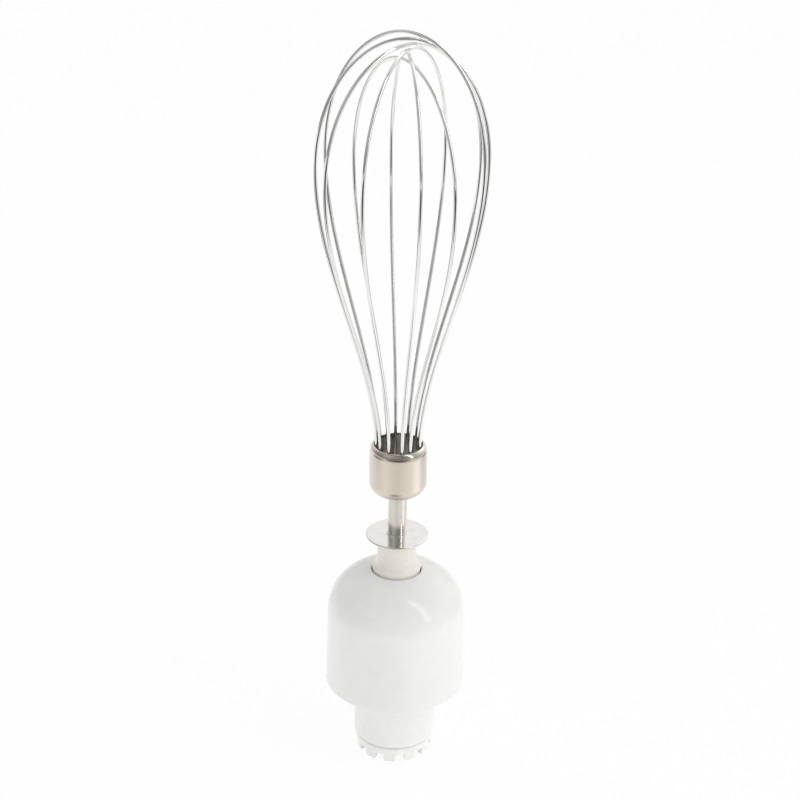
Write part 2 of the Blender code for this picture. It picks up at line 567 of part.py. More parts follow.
def build_planets(carrier):
    outline = gear_outline(PLANET_TEETH, PLANET_PITCH_RADIUS - DEDENDUM * MODULE,
                           PLANET_PITCH_RADIUS + ADDENDUM * MODULE, FLANK_GAP)
    pin_bottom = PLATE_BOTTOM + SEAT_GAP
    pin_top = CARRIER_BOTTOM + PLANET_PIN_SEAT
    for number, azimuth in enumerate(PLANET_AZIMUTHS, 1):
        axis = make_empty("planet_axis_%d" % number, carrier, (*polar(GEAR_CENTRES, azimuth), 0.0))
        # A tooth space faces the sun's tooth, half a pitch from the planet's own tooth
        axis.rotation_euler.z = math.radians(azimuth + 180.0 / PLANET_TEETH)
        planet = prism("planet_gear_%d" % number, [outline], GEAR_BOTTOM, GEAR_TOP, axis,
                       "natural plastic")
        combine(planet, turned("planet_bore_%d" % number,
                               rod(PLANET_PIN_RADIUS + RUN_GAP, GEAR_BOTTOM - OVERCUT,
                                   GEAR_TOP + OVERCUT), SMALL_STEPS, axis))
        turned("planet_pin_%d" % number, rod(PLANET_PIN_RADIUS, pin_bottom, pin_top), SMALL_STEPS,
               axis, "plain steel")


def build_carrier(carrier):
    seat = PLANET_PIN_RADIUS + SEAT_GAP
    pin_centres = [polar(GEAR_CENTRES, a) for a in PLANET_AZIMUTHS]
    post_centres = [polar(GEAR_CENTRES, a + 60.0) for a in PLANET_AZIMUTHS]

    pilot = DRIVE_SHAFT_RADIUS + RUN_GAP
    pilot_top = CARRIER_BOTTOM + SEAT_GAP * 6
    bore_bottom = HEX_TOP - SEAT_GAP
    hub = turned("planet_carrier", [
        (0.0, pilot_top), (pilot, pilot_top), (pilot, CARRIER_BOTTOM),
        (CARRIER_RADIUS, CARRIER_BOTTOM), (CARRIER_RADIUS, CARRIER_TOP), (HUB_RADIUS, CARRIER_TOP),
        (HUB_RADIUS, HUB_TOP), (STEM_RADIUS, HUB_TOP), (STEM_RADIUS, STEM_TOP),
        (WHISK_BORE_RADIUS, STEM_TOP), (WHISK_BORE_RADIUS, bore_bottom), (0.0, bore_bottom)],
        MEDIUM_STEPS, carrier, "natural plastic")
    post = [(0.0, PLATE_BOTTOM + SEAT_GAP), (POST_PEG_RADIUS, PLATE_BOTTOM + SEAT_GAP),
            (POST_PEG_RADIUS, GEAR_BOTTOM), (POST_RADIUS, GEAR_BOTTOM),
            (POST_RADIUS, CARRIER_BOTTOM + OVERCUT), (0.0, CARRIER_BOTTOM + OVERCUT)]
    combine(hub, turned("carrier_posts", post, SMALL_STEPS, carrier, centres=post_centres), "UNION")
    combine(hub, turned("pin_seats", rod(seat, CARRIER_BOTTOM - OVERCUT,
                                         CARRIER_BOTTOM + PLANET_PIN_SEAT + SEAT_GAP), SMALL_STEPS,
                        carrier, centres=pin_centres))
    hex_radius = WHISK_HEX_RADIUS + SEAT_GAP / math.cos(math.pi / 6)
    combine(hub, prism("shaft_hex", [polygon(hex_radius, 6)], SHAFT_SOCKET_BOTTOM,
                       bore_bottom + OVERCUT, carrier))

    sun_way = SUN_TIP_RADIUS + 2 * SEAT_GAP
    plate = turned("carrier_plate", tube(sun_way, CARRIER_RADIUS, PLATE_BOTTOM, PLATE_TOP),
                   MEDIUM_STEPS, carrier, "natural plastic")
    combine(plate, turned("plate_pin_holes", rod(seat, PLATE_BOTTOM - OVERCUT, PLATE_TOP + OVERCUT),
                          SMALL_STEPS, carrier, centres=pin_centres))
    combine(plate, turned("plate_peg_holes", rod(POST_PEG_RADIUS + SEAT_GAP, PLATE_BOTTOM - OVERCUT,
                                                 PLATE_TOP + OVERCUT), SMALL_STEPS, carrier,
                          centres=post_centres))
    turned("thrust_washer", tube(sun_way, sun_way + WASHER_WIDTH, WASHER_BOTTOM,
                                 WASHER_BOTTOM + WASHER_THICKNESS), MEDIUM_STEPS, carrier,
           "plain steel")


def build_output_side(housing, carrier):
    bush_bore = HUB_RADIUS + RUN_GAP
    flange = COVER_HOLE_RADIUS + COVER_BOSS_WALL
    flange_top = OUTPUT_BUSH_BOTTOM + OUTPUT_BUSH_FLANGE
    bush_top = OUTPUT_BUSH_BOTTOM + OUTPUT_BUSH_LENGTH
    turned("output_bush", [
        (bush_bore, OUTPUT_BUSH_BOTTOM), (flange, OUTPUT_BUSH_BOTTOM), (flange, flange_top),
        (OUTPUT_BUSH_RADIUS, flange_top), (OUTPUT_BUSH_RADIUS, bush_top), (bush_bore, bush_top)],
        MEDIUM_STEPS, housing, "sintered bronze")
    turned("output_washer", tube(bush_bore, flange, UPPER_WASHER_BOTTOM,
                                 UPPER_WASHER_BOTTOM + WASHER_THICKNESS), MEDIUM_STEPS, carrier,
           "plain steel")

    lip = HUB_RADIUS + RUN_GAP
    seal_bottom = SEAL_TOP - SEAL_HEIGHT
    turned("shaft_seal", [
        (OUTPUT_BUSH_RADIUS, seal_bottom), (OUTPUT_BUSH_RADIUS, SEAL_TOP), (lip, SEAL_TOP),
        (lip + SEAL_SKIN / 2, SEAL_TOP - SEAL_SKIN),
        (OUTPUT_BUSH_RADIUS - SEAL_SKIN, SEAL_TOP - SEAL_SKIN),
        (OUTPUT_BUSH_RADIUS - SEAL_SKIN, seal_bottom)], MEDIUM_STEPS, housing, "black rubber")

    flare = []
    for i in range(9):
        share = (i / 8) ** 1.6
        radius = NECK_TOP_RADIUS + (NECK_LIP_RADIUS - NECK_TOP_RADIUS) * (1 - share) ** NECK_FLARE_POWER
        flare.append((radius, NECK_FOOT + NECK_HEIGHT * share))
    stem_way = STEM_RADIUS + SEAT_GAP
    shoulder = NECK_TOP - NECK_SHOULDER
    turned("output_neck", [
        (stem_way, NECK_BOTTOM), (NECK_LIP_RADIUS, NECK_BOTTOM)] + flare + [
        (WHISK_BORE_RADIUS, NECK_TOP), (WHISK_BORE_RADIUS, shoulder), (stem_way, shoulder)],
        MEDIUM_STEPS, carrier, "natural plastic")

    centre = WHISK_BORE_RADIUS + SPRING_WIRE_RADIUS
    section = arc(centre, SPRING_HEIGHT, SPRING_WIRE_RADIUS, SPRING_WIRE_RADIUS, 0.0,
                  360.0 - 360.0 / SPRING_SIDES, SPRING_SIDES - 1)
    spring = turned("socket_spring", section, SMALL_STEPS, carrier, "plain steel")
    reach = centre + 2 * SPRING_WIRE_RADIUS
    half = SPRING_OPENING / 2
    opening = [(0.0, 0.0), polar(2 * reach, -half), polar(2 * reach, half)]
    combine(spring, prism("spring_opening", [opening], SPRING_HEIGHT - reach, SPRING_HEIGHT + reach,
                          carrier))


def build_whisk_shaft(whisk):
    shaft = turned("whisk_shaft", rod(WHISK_SHAFT_RADIUS, HEX_TOP, SHAFT_TOP), MEDIUM_STEPS, whisk,
                   "polished steel")
    combine(shaft, prism("shaft_drive_end", [polygon(WHISK_HEX_RADIUS, 6)], SHAFT_BOTTOM,
                         HEX_TOP + OVERCUT, whisk), "UNION")

    bore = WHISK_BORE_RADIUS
    collar = bore + DISC_COLLAR_WIDTH
    edge = DISC_THICKNESS / 2
    rim = arc(DISC_RADIUS - edge, DISC_BOTTOM + edge, edge, edge, -90.0, 90.0, 4)
    turned("splash_disc", [(bore, DISC_BOTTOM)] + rim + [
        (collar, DISC_TOP), (collar, DISC_TOP + DISC_COLLAR_HEIGHT),
        (bore, DISC_TOP + DISC_COLLAR_HEIGHT)], FINE_STEPS, whisk, "polished steel")


def build_wire_cup(whisk):
    inner = CUP_RADIUS - CUP_WALL
    corner = CUP_BOTTOM + CUP_CORNER_HEIGHT
    shoulder = CUP_TOP - CUP_RIM_HEIGHT
    reach = CUP_RADIUS - CUP_FLOOR_RADIUS
    outside = arc(CUP_FLOOR_RADIUS, corner, reach, CUP_CORNER_HEIGHT, -90.0, 0.0, 4)
    rim = arc(CUP_MOUTH_RADIUS, shoulder, CUP_RIM_INSET, CUP_RIM_HEIGHT, 0.0, 90.0, 4)
    hem = [(CUP_MOUTH_RADIUS, CUP_TOP - CUP_WALL),
           (inner, shoulder)]
    inside = arc(CUP_FLOOR_RADIUS, corner, reach - CUP_WALL, CUP_CORNER_HEIGHT - CUP_WALL,
                 0.0, -90.0, 3)
    profile = ([(WHISK_BORE_RADIUS, CUP_BOTTOM)] + outside + rim + hem + inside
               + [(WHISK_BORE_RADIUS, CUP_BOTTOM + CUP_WALL)])
    turned("wire_cup", profile, MEDIUM_STEPS, whisk, "polished steel")

    boss_bottom = CUP_BOTTOM + CUP_WALL + SEAT_GAP
    plug = turned("wire_plug", [
        (WHISK_BORE_RADIUS, boss_bottom), (CUP_FLOOR_RADIUS, boss_bottom),
        (CUP_FLOOR_RADIUS, PLUG_BOTTOM), (PLUG_RADIUS, PLUG_BOTTOM), (PLUG_RADIUS, PLUG_TOP),
        (0.0, PLUG_TOP), (0.0, PLUG_TOP - PLUG_SKIN), (WHISK_BORE_RADIUS, PLUG_TOP - PLUG_SKIN)],
        MEDIUM_STEPS, whisk, "plain steel")
    centres = [polar(side * WIRE_SEAT_RADIUS, loop[0]) for loop in WIRE_LOOPS for side in (1, -1)]
    combine(plug, turned("wire_holes", rod(WIRE_RADIUS + SEAT_GAP, PLUG_TOP - WIRE_SEAT_DEPTH,
                                           PLUG_TOP + OVERCUT), 8, whisk, centres=centres))


def bezier(a, b, c, d, count):
    # Cubic curve from a to d, without its first point
    shares = [(i + 1) / count for i in range(count)]
    return [tuple((1 - t) ** 3 * p + 3 * (1 - t) ** 2 * t * q + 3 * (1 - t) * t ** 2 * r + t ** 3 * s
                  for p, q, r, s in zip(a, b, c, d)) for t in shares]


def wire_route(number, azimuth, half_width, lean, rise, twist):
    # One leg from its seat to the crown as (out, height), then both legs set on the loop's plane
    opening = CUP_TOP - WIRE_STRAIGHT
    widest = CUP_TOP + WIRE_WIDEST_HEIGHT + rise
    step = 2 * WIRE_RADIUS + WIRE_CROSSING_GAP
    crown = CUP_TOP + WIRE_TOP_HEIGHT - number * step
    start = (WIRE_SEAT_RADIUS, opening)
    side = (half_width, widest)
    leg = [(WIRE_SEAT_RADIUS, WIRE_END), start]
    leg += bezier(start, (WIRE_SEAT_RADIUS, opening + WIRE_LOWER_PULL),
                  (half_width, widest - WIRE_UPPER_PULL), side, 8)
    leg += bezier(side, (half_width, widest + WIRE_CROWN_RISE * (crown - widest)),
                  (half_width * WIRE_CROWN_REACH, crown), (0.0, crown), 8)
    turn = math.radians(azimuth)
    points = []
    for sign, part in ((-1, leg), (1, leg[-2::-1])):
        for out, height in part:
            share = max(height - opening, 0.0) / WIRE_WIDEST_HEIGHT
            along = sign * out + lean * share
            across = twist * share
            points.append((along * math.cos(turn) - across * math.sin(turn),
                           along * math.sin(turn) + across * math.cos(turn), height))
    return points


def build_wire_loops(whisk):
    for number, loop in enumerate(WIRE_LOOPS):
        name = "wire_loop_%d" % (number + 1)
        curve = bpy.data.curves.new(name, "CURVE")
        curve.dimensions = "3D"
        curve.bevel_depth = WIRE_RADIUS
        curve.bevel_resolution = 1
        curve.use_fill_caps = True
        azimuth, *shares = loop
        points = wire_route(number, azimuth, *[share * WIRE_HALF_WIDTH for share in shares])
        spline = curve.splines.new("POLY")
        spline.points.add(len(points) - 1)
        for point, place in zip(spline.points, points):
            point.co = (*place, 1.0)
        wire = bpy.data.objects.new(name, curve)
        wire.parent = whisk
        bpy.context.scene.collection.objects.link(wire)
        add_finish(wire, "drawn wire")


def main():
    clear_scene()
    housing = make_empty("housing_axis")
    drive = make_empty("drive_axis", housing)
    carrier = make_empty("carrier_axis", housing)
    whisk = make_empty("whisk_axis", carrier)
    build_coupling_ring(housing)
    build_housing_base(housing)
    build_bell_cover(housing)
    build_internal_gear(housing)
    build_housing_screws(housing)
    build_drive_side(housing, drive)
    build_planets(carrier)
    build_carrier(carrier)
    build_output_side(housing, carrier)
    build_whisk_shaft(whisk)
    build_wire_cup(whisk)
    build_wire_loops(whisk)


main()
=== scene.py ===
# Whisk attachment for a stick blender: finished surfaces, materials, studio and camera.
# Metres, +Z up. Each new piece lies where its CAD node lies and rides on the same body.
import math

import bpy
import numpy as np
from mathutils import Matrix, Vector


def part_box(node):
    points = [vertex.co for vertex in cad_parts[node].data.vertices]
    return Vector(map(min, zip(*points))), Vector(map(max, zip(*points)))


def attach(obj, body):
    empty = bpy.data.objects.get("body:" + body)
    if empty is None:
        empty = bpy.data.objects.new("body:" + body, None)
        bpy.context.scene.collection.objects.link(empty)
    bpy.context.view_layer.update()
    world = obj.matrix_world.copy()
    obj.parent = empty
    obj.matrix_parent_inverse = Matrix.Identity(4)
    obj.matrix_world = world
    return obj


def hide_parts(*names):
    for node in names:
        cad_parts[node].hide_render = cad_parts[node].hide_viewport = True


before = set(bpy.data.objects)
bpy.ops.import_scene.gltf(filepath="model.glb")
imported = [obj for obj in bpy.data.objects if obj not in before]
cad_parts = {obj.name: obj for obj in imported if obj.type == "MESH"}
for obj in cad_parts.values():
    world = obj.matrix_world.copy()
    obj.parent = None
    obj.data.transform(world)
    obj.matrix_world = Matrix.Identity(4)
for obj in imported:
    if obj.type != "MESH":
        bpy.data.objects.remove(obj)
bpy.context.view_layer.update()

mm = 0.001
fullTurn = 2 * math.pi

# Roundings of small edges
crispEdge, fineEdge, smallEdge, softEdge = 0.1 * mm, 0.15 * mm, 0.2 * mm, 0.3 * mm

print("frame loaded:", len(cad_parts), "nodes")


# Surfaces

def roundedLine(corners, arcSteps=5, closed=True):
    # Each corner (x, y, radius) becomes a circle's arc that touches both edges. It starts
    # radius * tan(turn / 2) before the corner, and is a rational quadratic of weight cos(turn / 2).
    table = np.array([tuple(c) + (0.0,) * (3 - len(c)) for c in corners], float)
    places = table[:, :2]
    before = places - np.roll(places, 1, 0)
    after = np.roll(places, -1, 0) - places
    before /= np.linalg.norm(before, axis=1, keepdims=True)
    after /= np.linalg.norm(after, axis=1, keepdims=True)
    turn = np.arccos(np.clip((before * after).sum(1), -1.0, 1.0))
    back = (table[:, 2] * np.tan(turn / 2))[:, None, None]
    share = np.linspace(0.0, 1.0, arcSteps + 1)[None, :, None]
    corner = places[:, None, :]
    start = corner - before[:, None, :] * back
    stop = corner + after[:, None, :] * back
    weight = np.cos(turn / 2)[:, None, None]
    parts = (1 - share) ** 2, 2 * share * (1 - share) * weight, share ** 2
    line = (parts[0] * start + parts[1] * corner + parts[2] * stop) / sum(parts)
    line = line.reshape(-1, 2)
    if not closed:
        line = line[arcSteps:-arcSteps]
    apart = np.linalg.norm(line - np.roll(line, 1, 0), axis=1) > 1e-7
    if not closed:
        apart[0] = True
    return line[apart]


def filledLine(line, spacing, closed=True):
    # Adds evenly spaced points, so that no stretch is longer than the spacing
    stops = np.vstack([line, line[:1]]) if closed else line
    lengths = np.linalg.norm(np.diff(stops, axis=0), axis=1)
    counts = np.maximum(np.ceil(lengths / spacing), 1).astype(int)
    starts = np.repeat(np.concatenate([[0], np.cumsum(counts)[:-1]]), counts)
    share = (np.arange(counts.sum()) - starts) / np.repeat(counts, counts)
    first = np.repeat(np.arange(len(counts)), counts)
    filled = stops[first] * (1 - share[:, None]) + stops[first + 1] * share[:, None]
    return filled if closed else np.vstack([filled, stops[-1:]])


def ellipseArc(centre, reach, start, stop, steps):
    # Points centre + (reach x * cos, reach y * sin) between two angles in degrees
    angle = np.radians(np.linspace(start, stop, steps + 1))
    return [(centre[0] + reach[0] * c, centre[1] + reach[1] * s)
            for c, s in zip(np.cos(angle), np.sin(angle))]


def turnedGrid(radii, heights, steps, centre=(0.0, 0.0)):
    # (radius * cos, radius * sin, height) round a vertical axis. The radius may change with the angle.
    angle = np.arange(steps) * fullTurn / steps
    radii = np.broadcast_to(np.asarray(radii, float).reshape(len(heights), -1), (len(heights), steps))
    height = np.broadcast_to(np.asarray(heights, float)[:, None], radii.shape)
    return np.stack([centre[0] + radii * np.cos(angle), centre[1] + radii * np.sin(angle), height], -1)


def surface(grid, poles=None):
    # Quads between neighbouring rows and columns. Columns close on themselves. Rows do as well,
    # unless two poles close the ends with triangles. The signed volume says which way is out.
    rows, columns = grid.shape[:2]
    row = np.arange(rows if poles is None else rows - 1)[:, None]
    column = np.arange(columns)[None, :]
    nextRow = (row + 1) % rows
    nextColumn = (column + 1) % columns
    quads = np.stack([row * columns + column, row * columns + nextColumn,
                      nextRow * columns + nextColumn, nextRow * columns + column], -1).reshape(-1, 4)
    points = grid.reshape(-1, 3)
    triangles = np.zeros((0, 3), int)
    if poles is not None:
        ring = np.arange(columns)
        onward = np.roll(ring, -1)
        last = (rows - 1) * columns
        count = len(points)
        points = np.vstack([points, np.asarray(poles, float)])
        triangles = np.vstack([np.stack([onward, ring, np.full(columns, count)], 1),
                               np.stack([last + ring, last + onward, np.full(columns, count + 1)], 1)])
    a, b, c, d = (points[quads[:, i]] for i in range(4))
    volume = (a * np.cross(b, c)).sum() + (a * np.cross(c, d)).sum()
    if len(triangles):
        a, b, c = (points[triangles[:, i]] for i in range(3))
        volume += (a * np.cross(b, c)).sum()
    if volume < 0:
        quads = quads[:, ::-1]
        triangles = triangles[:, ::-1]
    return points, quads, triangles


def turned(line, steps):
    return surface(turnedGrid(line[:, 0], line[:, 1], steps))


def block(corners, bottom, top):
    # Straight solid over four (x, y) corners
    corners = np.asarray(corners, float)
    outline = filledLine(corners, 2.0 * mm)
    middle = corners.mean(0)
    heights = np.linspace(bottom, top, 5)
    grid = np.stack([np.broadcast_to(outline[None, :, 0], (5, len(outline))),
                     np.broadcast_to(outline[None, :, 1], (5, len(outline))),
                     np.broadcast_to(heights[:, None], (5, len(outline)))], -1)
    return surface(grid, ((middle[0], middle[1], bottom), (middle[0], middle[1], top)))


def makeMesh(name, shells):
    offsets = np.cumsum([0] + [len(shell[0]) for shell in shells[:-1]])
    points = np.vstack([shell[0] for shell in shells])
    quads = np.vstack([shell[1] + offset for shell, offset in zip(shells, offsets)])
    triangles = np.vstack([shell[2] + offset for shell, offset in zip(shells, offsets)])
    sizes = np.concatenate([np.full(len(quads), 4), np.full(len(triangles), 3)])
    mesh = bpy.data.meshes.new(name)
    mesh.vertices.add(len(points))
    mesh.vertices.foreach_set("co", points.astype(np.float32).ravel())
    mesh.loops.add(int(sizes.sum()))
    corners = np.concatenate([quads.ravel(), triangles.ravel()]).astype(np.int32)
    mesh.loops.foreach_set("vertex_index", corners)
    mesh.polygons.add(len(sizes))
    mesh.polygons.foreach_set("loop_start", np.concatenate([[0], np.cumsum(sizes)[:-1]]).astype(np.int32))
    mesh.update(calc_edges=True)
    mesh.validate()
    return mesh


def smoothMesh(mesh, edgeAngle=32.0):
    mesh.shade_smooth()
    mesh.set_sharp_from_angle(angle=math.radians(edgeAngle))


def addPiece(name, shells, body, material, replaced):
    mesh = makeMesh(name, shells)
    smoothMesh(mesh)
    mesh.materials.append(material)
    piece = bpy.data.objects.new(name, mesh)
    bpy.context.scene.collection.objects.link(piece)
    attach(piece, body)
    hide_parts(*replaced)
    return piece


def cutFrom(piece, shells):
    # Takes closed shells away from a piece, and keeps the result as the piece's own mesh
    cutter = bpy.data.objects.new("cutter", makeMesh("cutter", shells))
    bpy.context.scene.collection.objects.link(cutter)
    modifier = piece.modifiers.new("cut", "BOOLEAN")
    modifier.object = cutter
    modifier.operation = "DIFFERENCE"
    modifier.solver = "EXACT"
    evaluated = piece.evaluated_get(bpy.context.evaluated_depsgraph_get())
    cut = bpy.data.meshes.new_from_object(evaluated)
    piece.modifiers.clear()
    piece.data = cut
    bpy.data.objects.remove(cutter)
    smoothMesh(cut)


def polar(radius, degrees):
    return radius * math.cos(math.radians(degrees)), radius * math.sin(math.radians(degrees))


# Shader maths

class Socket:
    # A node tree's output socket, so that sums and products of sockets read as Python
    def __init__(self, tree, link=None):
        self.tree = tree
        self.link = link

    def make(self, kind, settings=None, values=None, output=0):
        node = self.tree.nodes.new(kind)
        for name, value in (settings or {}).items():
            setattr(node, name, value)
        for name, value in (values or {}).items():
            if isinstance(value, Socket):
                self.tree.links.new(value.link, node.inputs[name])
            else:
                node.inputs[name].default_value = value
        return Socket(self.tree, node.outputs[output])

    def maths(self, operation, *terms):
        return self.make("ShaderNodeMath", {"operation": operation}, dict(enumerate(terms)))

    def __add__(self, other):
        return self.maths("ADD", self, other)

    def __sub__(self, other):
        return self.maths("SUBTRACT", self, other)

    def __mul__(self, other):
        return self.maths("MULTIPLY", self, other)

    def __truediv__(self, other):
        return self.maths("DIVIDE", self, other)

    def __pow__(self, other):
        return self.maths("POWER", self, other)

    def __rsub__(self, other):
        return self.maths("SUBTRACT", other, self)

    __radd__ = __add__
    __rmul__ = __mul__

    def smoothStep(self, low, high):
        return self.make("ShaderNodeMapRange", {"interpolation_type": "SMOOTHSTEP"},
                         {"Value": self, "From Min": low, "From Max": high})

    def blend(self, low, high):
        # low where the mask is 0, high where it is 1, for colours
        return self.make("ShaderNodeMix", {"data_type": "RGBA"}, {0: self, 6: low, 7: high}, 2)


def shaderInputs(tree):
    # A socket to start from, and the place on the piece
    start = Socket(tree)
    return start, start.make("ShaderNodeTexCoord", output="Object")


def axesOf(start, place):
    split = start.make("ShaderNodeSeparateXYZ", values={0: place}).link.node
    return [Socket(start.tree, out) for out in split.outputs]


def noise(start, place, scale, detail, roughness=0.5):
    scaled = start.make("ShaderNodeVectorMath", {"operation": "MULTIPLY"},
                        {0: place, 1: (scale, scale, scale)})
    return start.make("ShaderNodeTexNoise", {"noise_dimensions": "3D"},
                      {"Vector": scaled, "Scale": 1.0, "Detail": detail, "Roughness": roughness})


def lineNoise(start, along):
    # Noise of one variable, for tool marks
    return start.make("ShaderNodeTexNoise", {"noise_dimensions": "1D"},
                      {"W": along, "Scale": 1.0, "Detail": 3.0, "Roughness": 0.6})


def newMaterial(name, constants, build):
    # build takes the tree and gives the links of the shader's changing sockets
    material = bpy.data.materials.new(name)
    material.use_nodes = True
    tree = material.node_tree
    shader = tree.nodes["Principled BSDF"]
    for socket, value in constants.items():
        shader.inputs[socket].default_value = value
    for socket, value in build(tree).items():
        tree.links.new(value.link, shader.inputs[socket])
    return material


def bump(start, height, depth):
    # height runs from 0 to 1 and stands for depth metres
    return start.make("ShaderNodeBump", values={"Height": height, "Distance": depth, "Strength": 1.0})


def blotched(mask, values):
    # From the finish's colour to the same colour times its shade
    darker = tuple(values["shade"] * c for c in values["colour"])
    return mask.blend((*values["colour"], 1.0), (*darker, 1.0))


plasticFinishes = {
    "cover": {"colour": (0.850, 0.853, 0.842), "shade": 0.975, "roughness": 0.18, "patchRoughness": 0.05,
              "grainScale": 2600.0, "grainDepth": 4e-6, "waveScale": 70.0, "waveDepth": 3e-5},
    "base": {"colour": (0.865, 0.868, 0.855), "shade": 0.975, "roughness": 0.25, "patchRoughness": 0.06,
             "grainScale": 2600.0, "grainDepth": 5e-6, "waveScale": 110.0, "waveDepth": 2e-5},
    "neck": {"colour": (0.865, 0.838, 0.770), "shade": 0.970, "roughness": 0.30, "patchRoughness": 0.06,
             "grainScale": 1800.0, "grainDepth": 4e-6, "waveScale": 160.0, "waveDepth": 1e-5},
    "gear": {"colour": (0.800, 0.785, 0.720), "shade": 0.960, "roughness": 0.42, "patchRoughness": 0.10,
             "grainScale": 1500.0, "grainDepth": 6e-6, "waveScale": 200.0, "waveDepth": 1e-5},
    "socket": {"colour": (0.270, 0.280, 0.290), "shade": 0.900, "roughness": 0.48, "patchRoughness": 0.12,
               "grainScale": 1200.0, "grainDepth": 1e-5, "waveScale": 200.0, "waveDepth": 1e-5},
    "rubber": {"colour": (0.030, 0.030, 0.032), "shade": 0.800, "roughness": 0.70, "patchRoughness": 0.12,
               "grainScale": 1500.0, "grainDepth": 1e-5, "waveScale": 200.0, "waveDepth": 1e-5},
}


def mouldedPlastic(name):
    # A faint spark-eroded grain over slow waves, and patches a touch duller than the rest
    values = plasticFinishes[name]

    def build(tree):
        start, place = shaderInputs(tree)
        grain = noise(start, place, values["grainScale"], 2.0)
        wave = noise(start, place, values["waveScale"], 1.0)
        patch = noise(start, place, 3.0 * values["waveScale"], 4.0, 0.6)
        fine = bump(start, grain, values["grainDepth"])
        slow = start.make("ShaderNodeBump", values={"Height": wave, "Distance": values["waveDepth"],
                                                     "Strength": 1.0, "Normal": fine})
        return {"Base Color": blotched(patch.smoothStep(0.35, 0.75), values),
                "Roughness": values["roughness"] + (patch - 0.5) * values["patchRoughness"],
                "Normal": slow}

    return newMaterial(name + "Plastic", {"Metallic": 0.0, "IOR": 1.49}, build)


steelFinishes = {
    "disc": {"colour": (0.770, 0.757, 0.738), "shade": 0.93, "roughness": 0.20, "lineRoughness": 0.08,
             "spread": 0.6, "radialLines": 5200.0, "heightLines": 0.0, "lineDepth": 1.2e-6},
    "shaft": {"colour": (0.705, 0.678, 0.622), "shade": 0.93, "roughness": 0.20, "lineRoughness": 0.08,
              "spread": 0.7, "radialLines": 0.0, "heightLines": 4200.0, "lineDepth": 1.6e-6},
    "machined": {"colour": (0.560, 0.560, 0.565), "shade": 0.88, "roughness": 0.32, "lineRoughness": 0.12,
                 "spread": 0.3, "radialLines": 3000.0, "heightLines": 2400.0, "lineDepth": 4e-6},
    "plug": {"colour": (0.760, 0.740, 0.700), "shade": 0.90, "roughness": 0.45, "lineRoughness": 0.12,
             "spread": 0.0, "radialLines": 3000.0, "heightLines": 2400.0, "lineDepth": 4e-6},
    "bronze": {"colour": (0.600, 0.430, 0.250), "shade": 0.80, "roughness": 0.46, "lineRoughness": 0.16,
               "spread": 0.0, "radialLines": 900.0, "heightLines": 900.0, "lineDepth": 8e-6},
}

stainScale = 240.0


def turnedSteel(name):
    # Tool marks run round the axis: noise of one variable, radius * lines + height * lines. They
    # spread reflections across themselves, a quarter turn from the tangent round the axis.
    values = steelFinishes[name]

    def build(tree):
        start, place = shaderInputs(tree)
        x, y, z = axesOf(start, place)
        radius = (x * x + y * y) ** 0.5
        marks = lineNoise(start, radius * values["radialLines"] + z * values["heightLines"])
        stain = noise(start, place, stainScale, 4.0, 0.6)
        return {"Base Color": blotched(stain.smoothStep(0.35, 0.75), values),
                "Roughness": values["roughness"] + (marks - 0.5) * values["lineRoughness"],
                "Normal": bump(start, marks, values["lineDepth"])}

    return newMaterial(name + "Steel", {"Metallic": 1.0, "Anisotropic": values["spread"],
                                        "Anisotropic Rotation": 0.25}, build)


cupFinish = {
    "colour": (0.750, 0.680, 0.580),
    "paintedSideReflection": (0.755, 0.674, 0.643),      # painted reflection, towards the sides along x
    "rim": (0.560, 0.520, 0.455),        # painted dark reflection at the rim's front and back
    # Painted light: a lighter colour inside the cup, where little light gets in
    "inside": (0.800, 0.770, 0.720),
    "satin": 0.30,
    "polish": 0.18,
    "insideRoughness": 0.48,
    "lineDepth": 1.5e-6,
    "lines": 3000.0,
    "cloudScale": 500.0,
    "cloudTint": 0.3,
    "cloudRoughness": 0.06,
}


def cupSteel(outside, wall, bendHeight):
    # Satin round the wall, polished where the rim is rolled, dull and painted lighter inside, with
    # painted reflection on the sides and a painted dark reflection on the rim's front and back. The
    # inside starts half way through the sheet, and the rim where the wall bends.
    values = cupFinish

    def build(tree):
        start, place = shaderInputs(tree)
        x, y, z = axesOf(start, place)
        radius = (x * x + y * y) ** 0.5
        inner = 1 - radius.smoothStep(outside - 0.8 * wall, outside - 0.4 * wall)
        inner = inner * (1 - z.smoothStep(bendHeight, bendHeight + mm))
        rim = z.smoothStep(bendHeight - 0.6 * mm, bendHeight + 0.8 * mm)
        marks = lineNoise(start, z * values["lines"])
        # Painted reflection: the wall's colour turns towards a painted side reflection where x is large,
        # at the sides; the cloud adds a random tone
        aside = x * x / (radius * radius)
        side = aside.smoothStep(0.15, 0.95)
        cloud = noise(start, place, values["cloudScale"], 4.0, 0.6) - 0.5
        wallColourAndPaintedSides = (side + cloud * values["cloudTint"]).blend((*values["colour"], 1.0),
                                                                (*values["paintedSideReflection"], 1.0))
        rough = values["satin"] + rim * (values["polish"] - values["satin"])
        rough = rough + inner * (values["insideRoughness"] - values["satin"])
        # Painted dark reflection on the rim's front and back, where x is small
        outer = (rim * (1 - aside.smoothStep(0.40, 0.85))).blend(wallColourAndPaintedSides, (*values["rim"], 1.0))
        # Painted light: the inside takes the lighter inside colour
        return {"Base Color": inner.blend(outer, (*values["inside"], 1.0)),
                "Roughness": rough + cloud * values["cloudRoughness"],
                "Normal": bump(start, marks, values["lineDepth"])}

    return newMaterial("cupSteel", {"Metallic": 1.0}, build)


wireFinish = {
    "colour": (0.850, 0.846, 0.835),
    "shade": 0.92,
    "roughness": 0.11,
    "streakRoughness": 0.05,
    "streaksAround": 16.0,
    "streaksAlong": 60.0,
    "streakDepth": 2.5e-7,
}


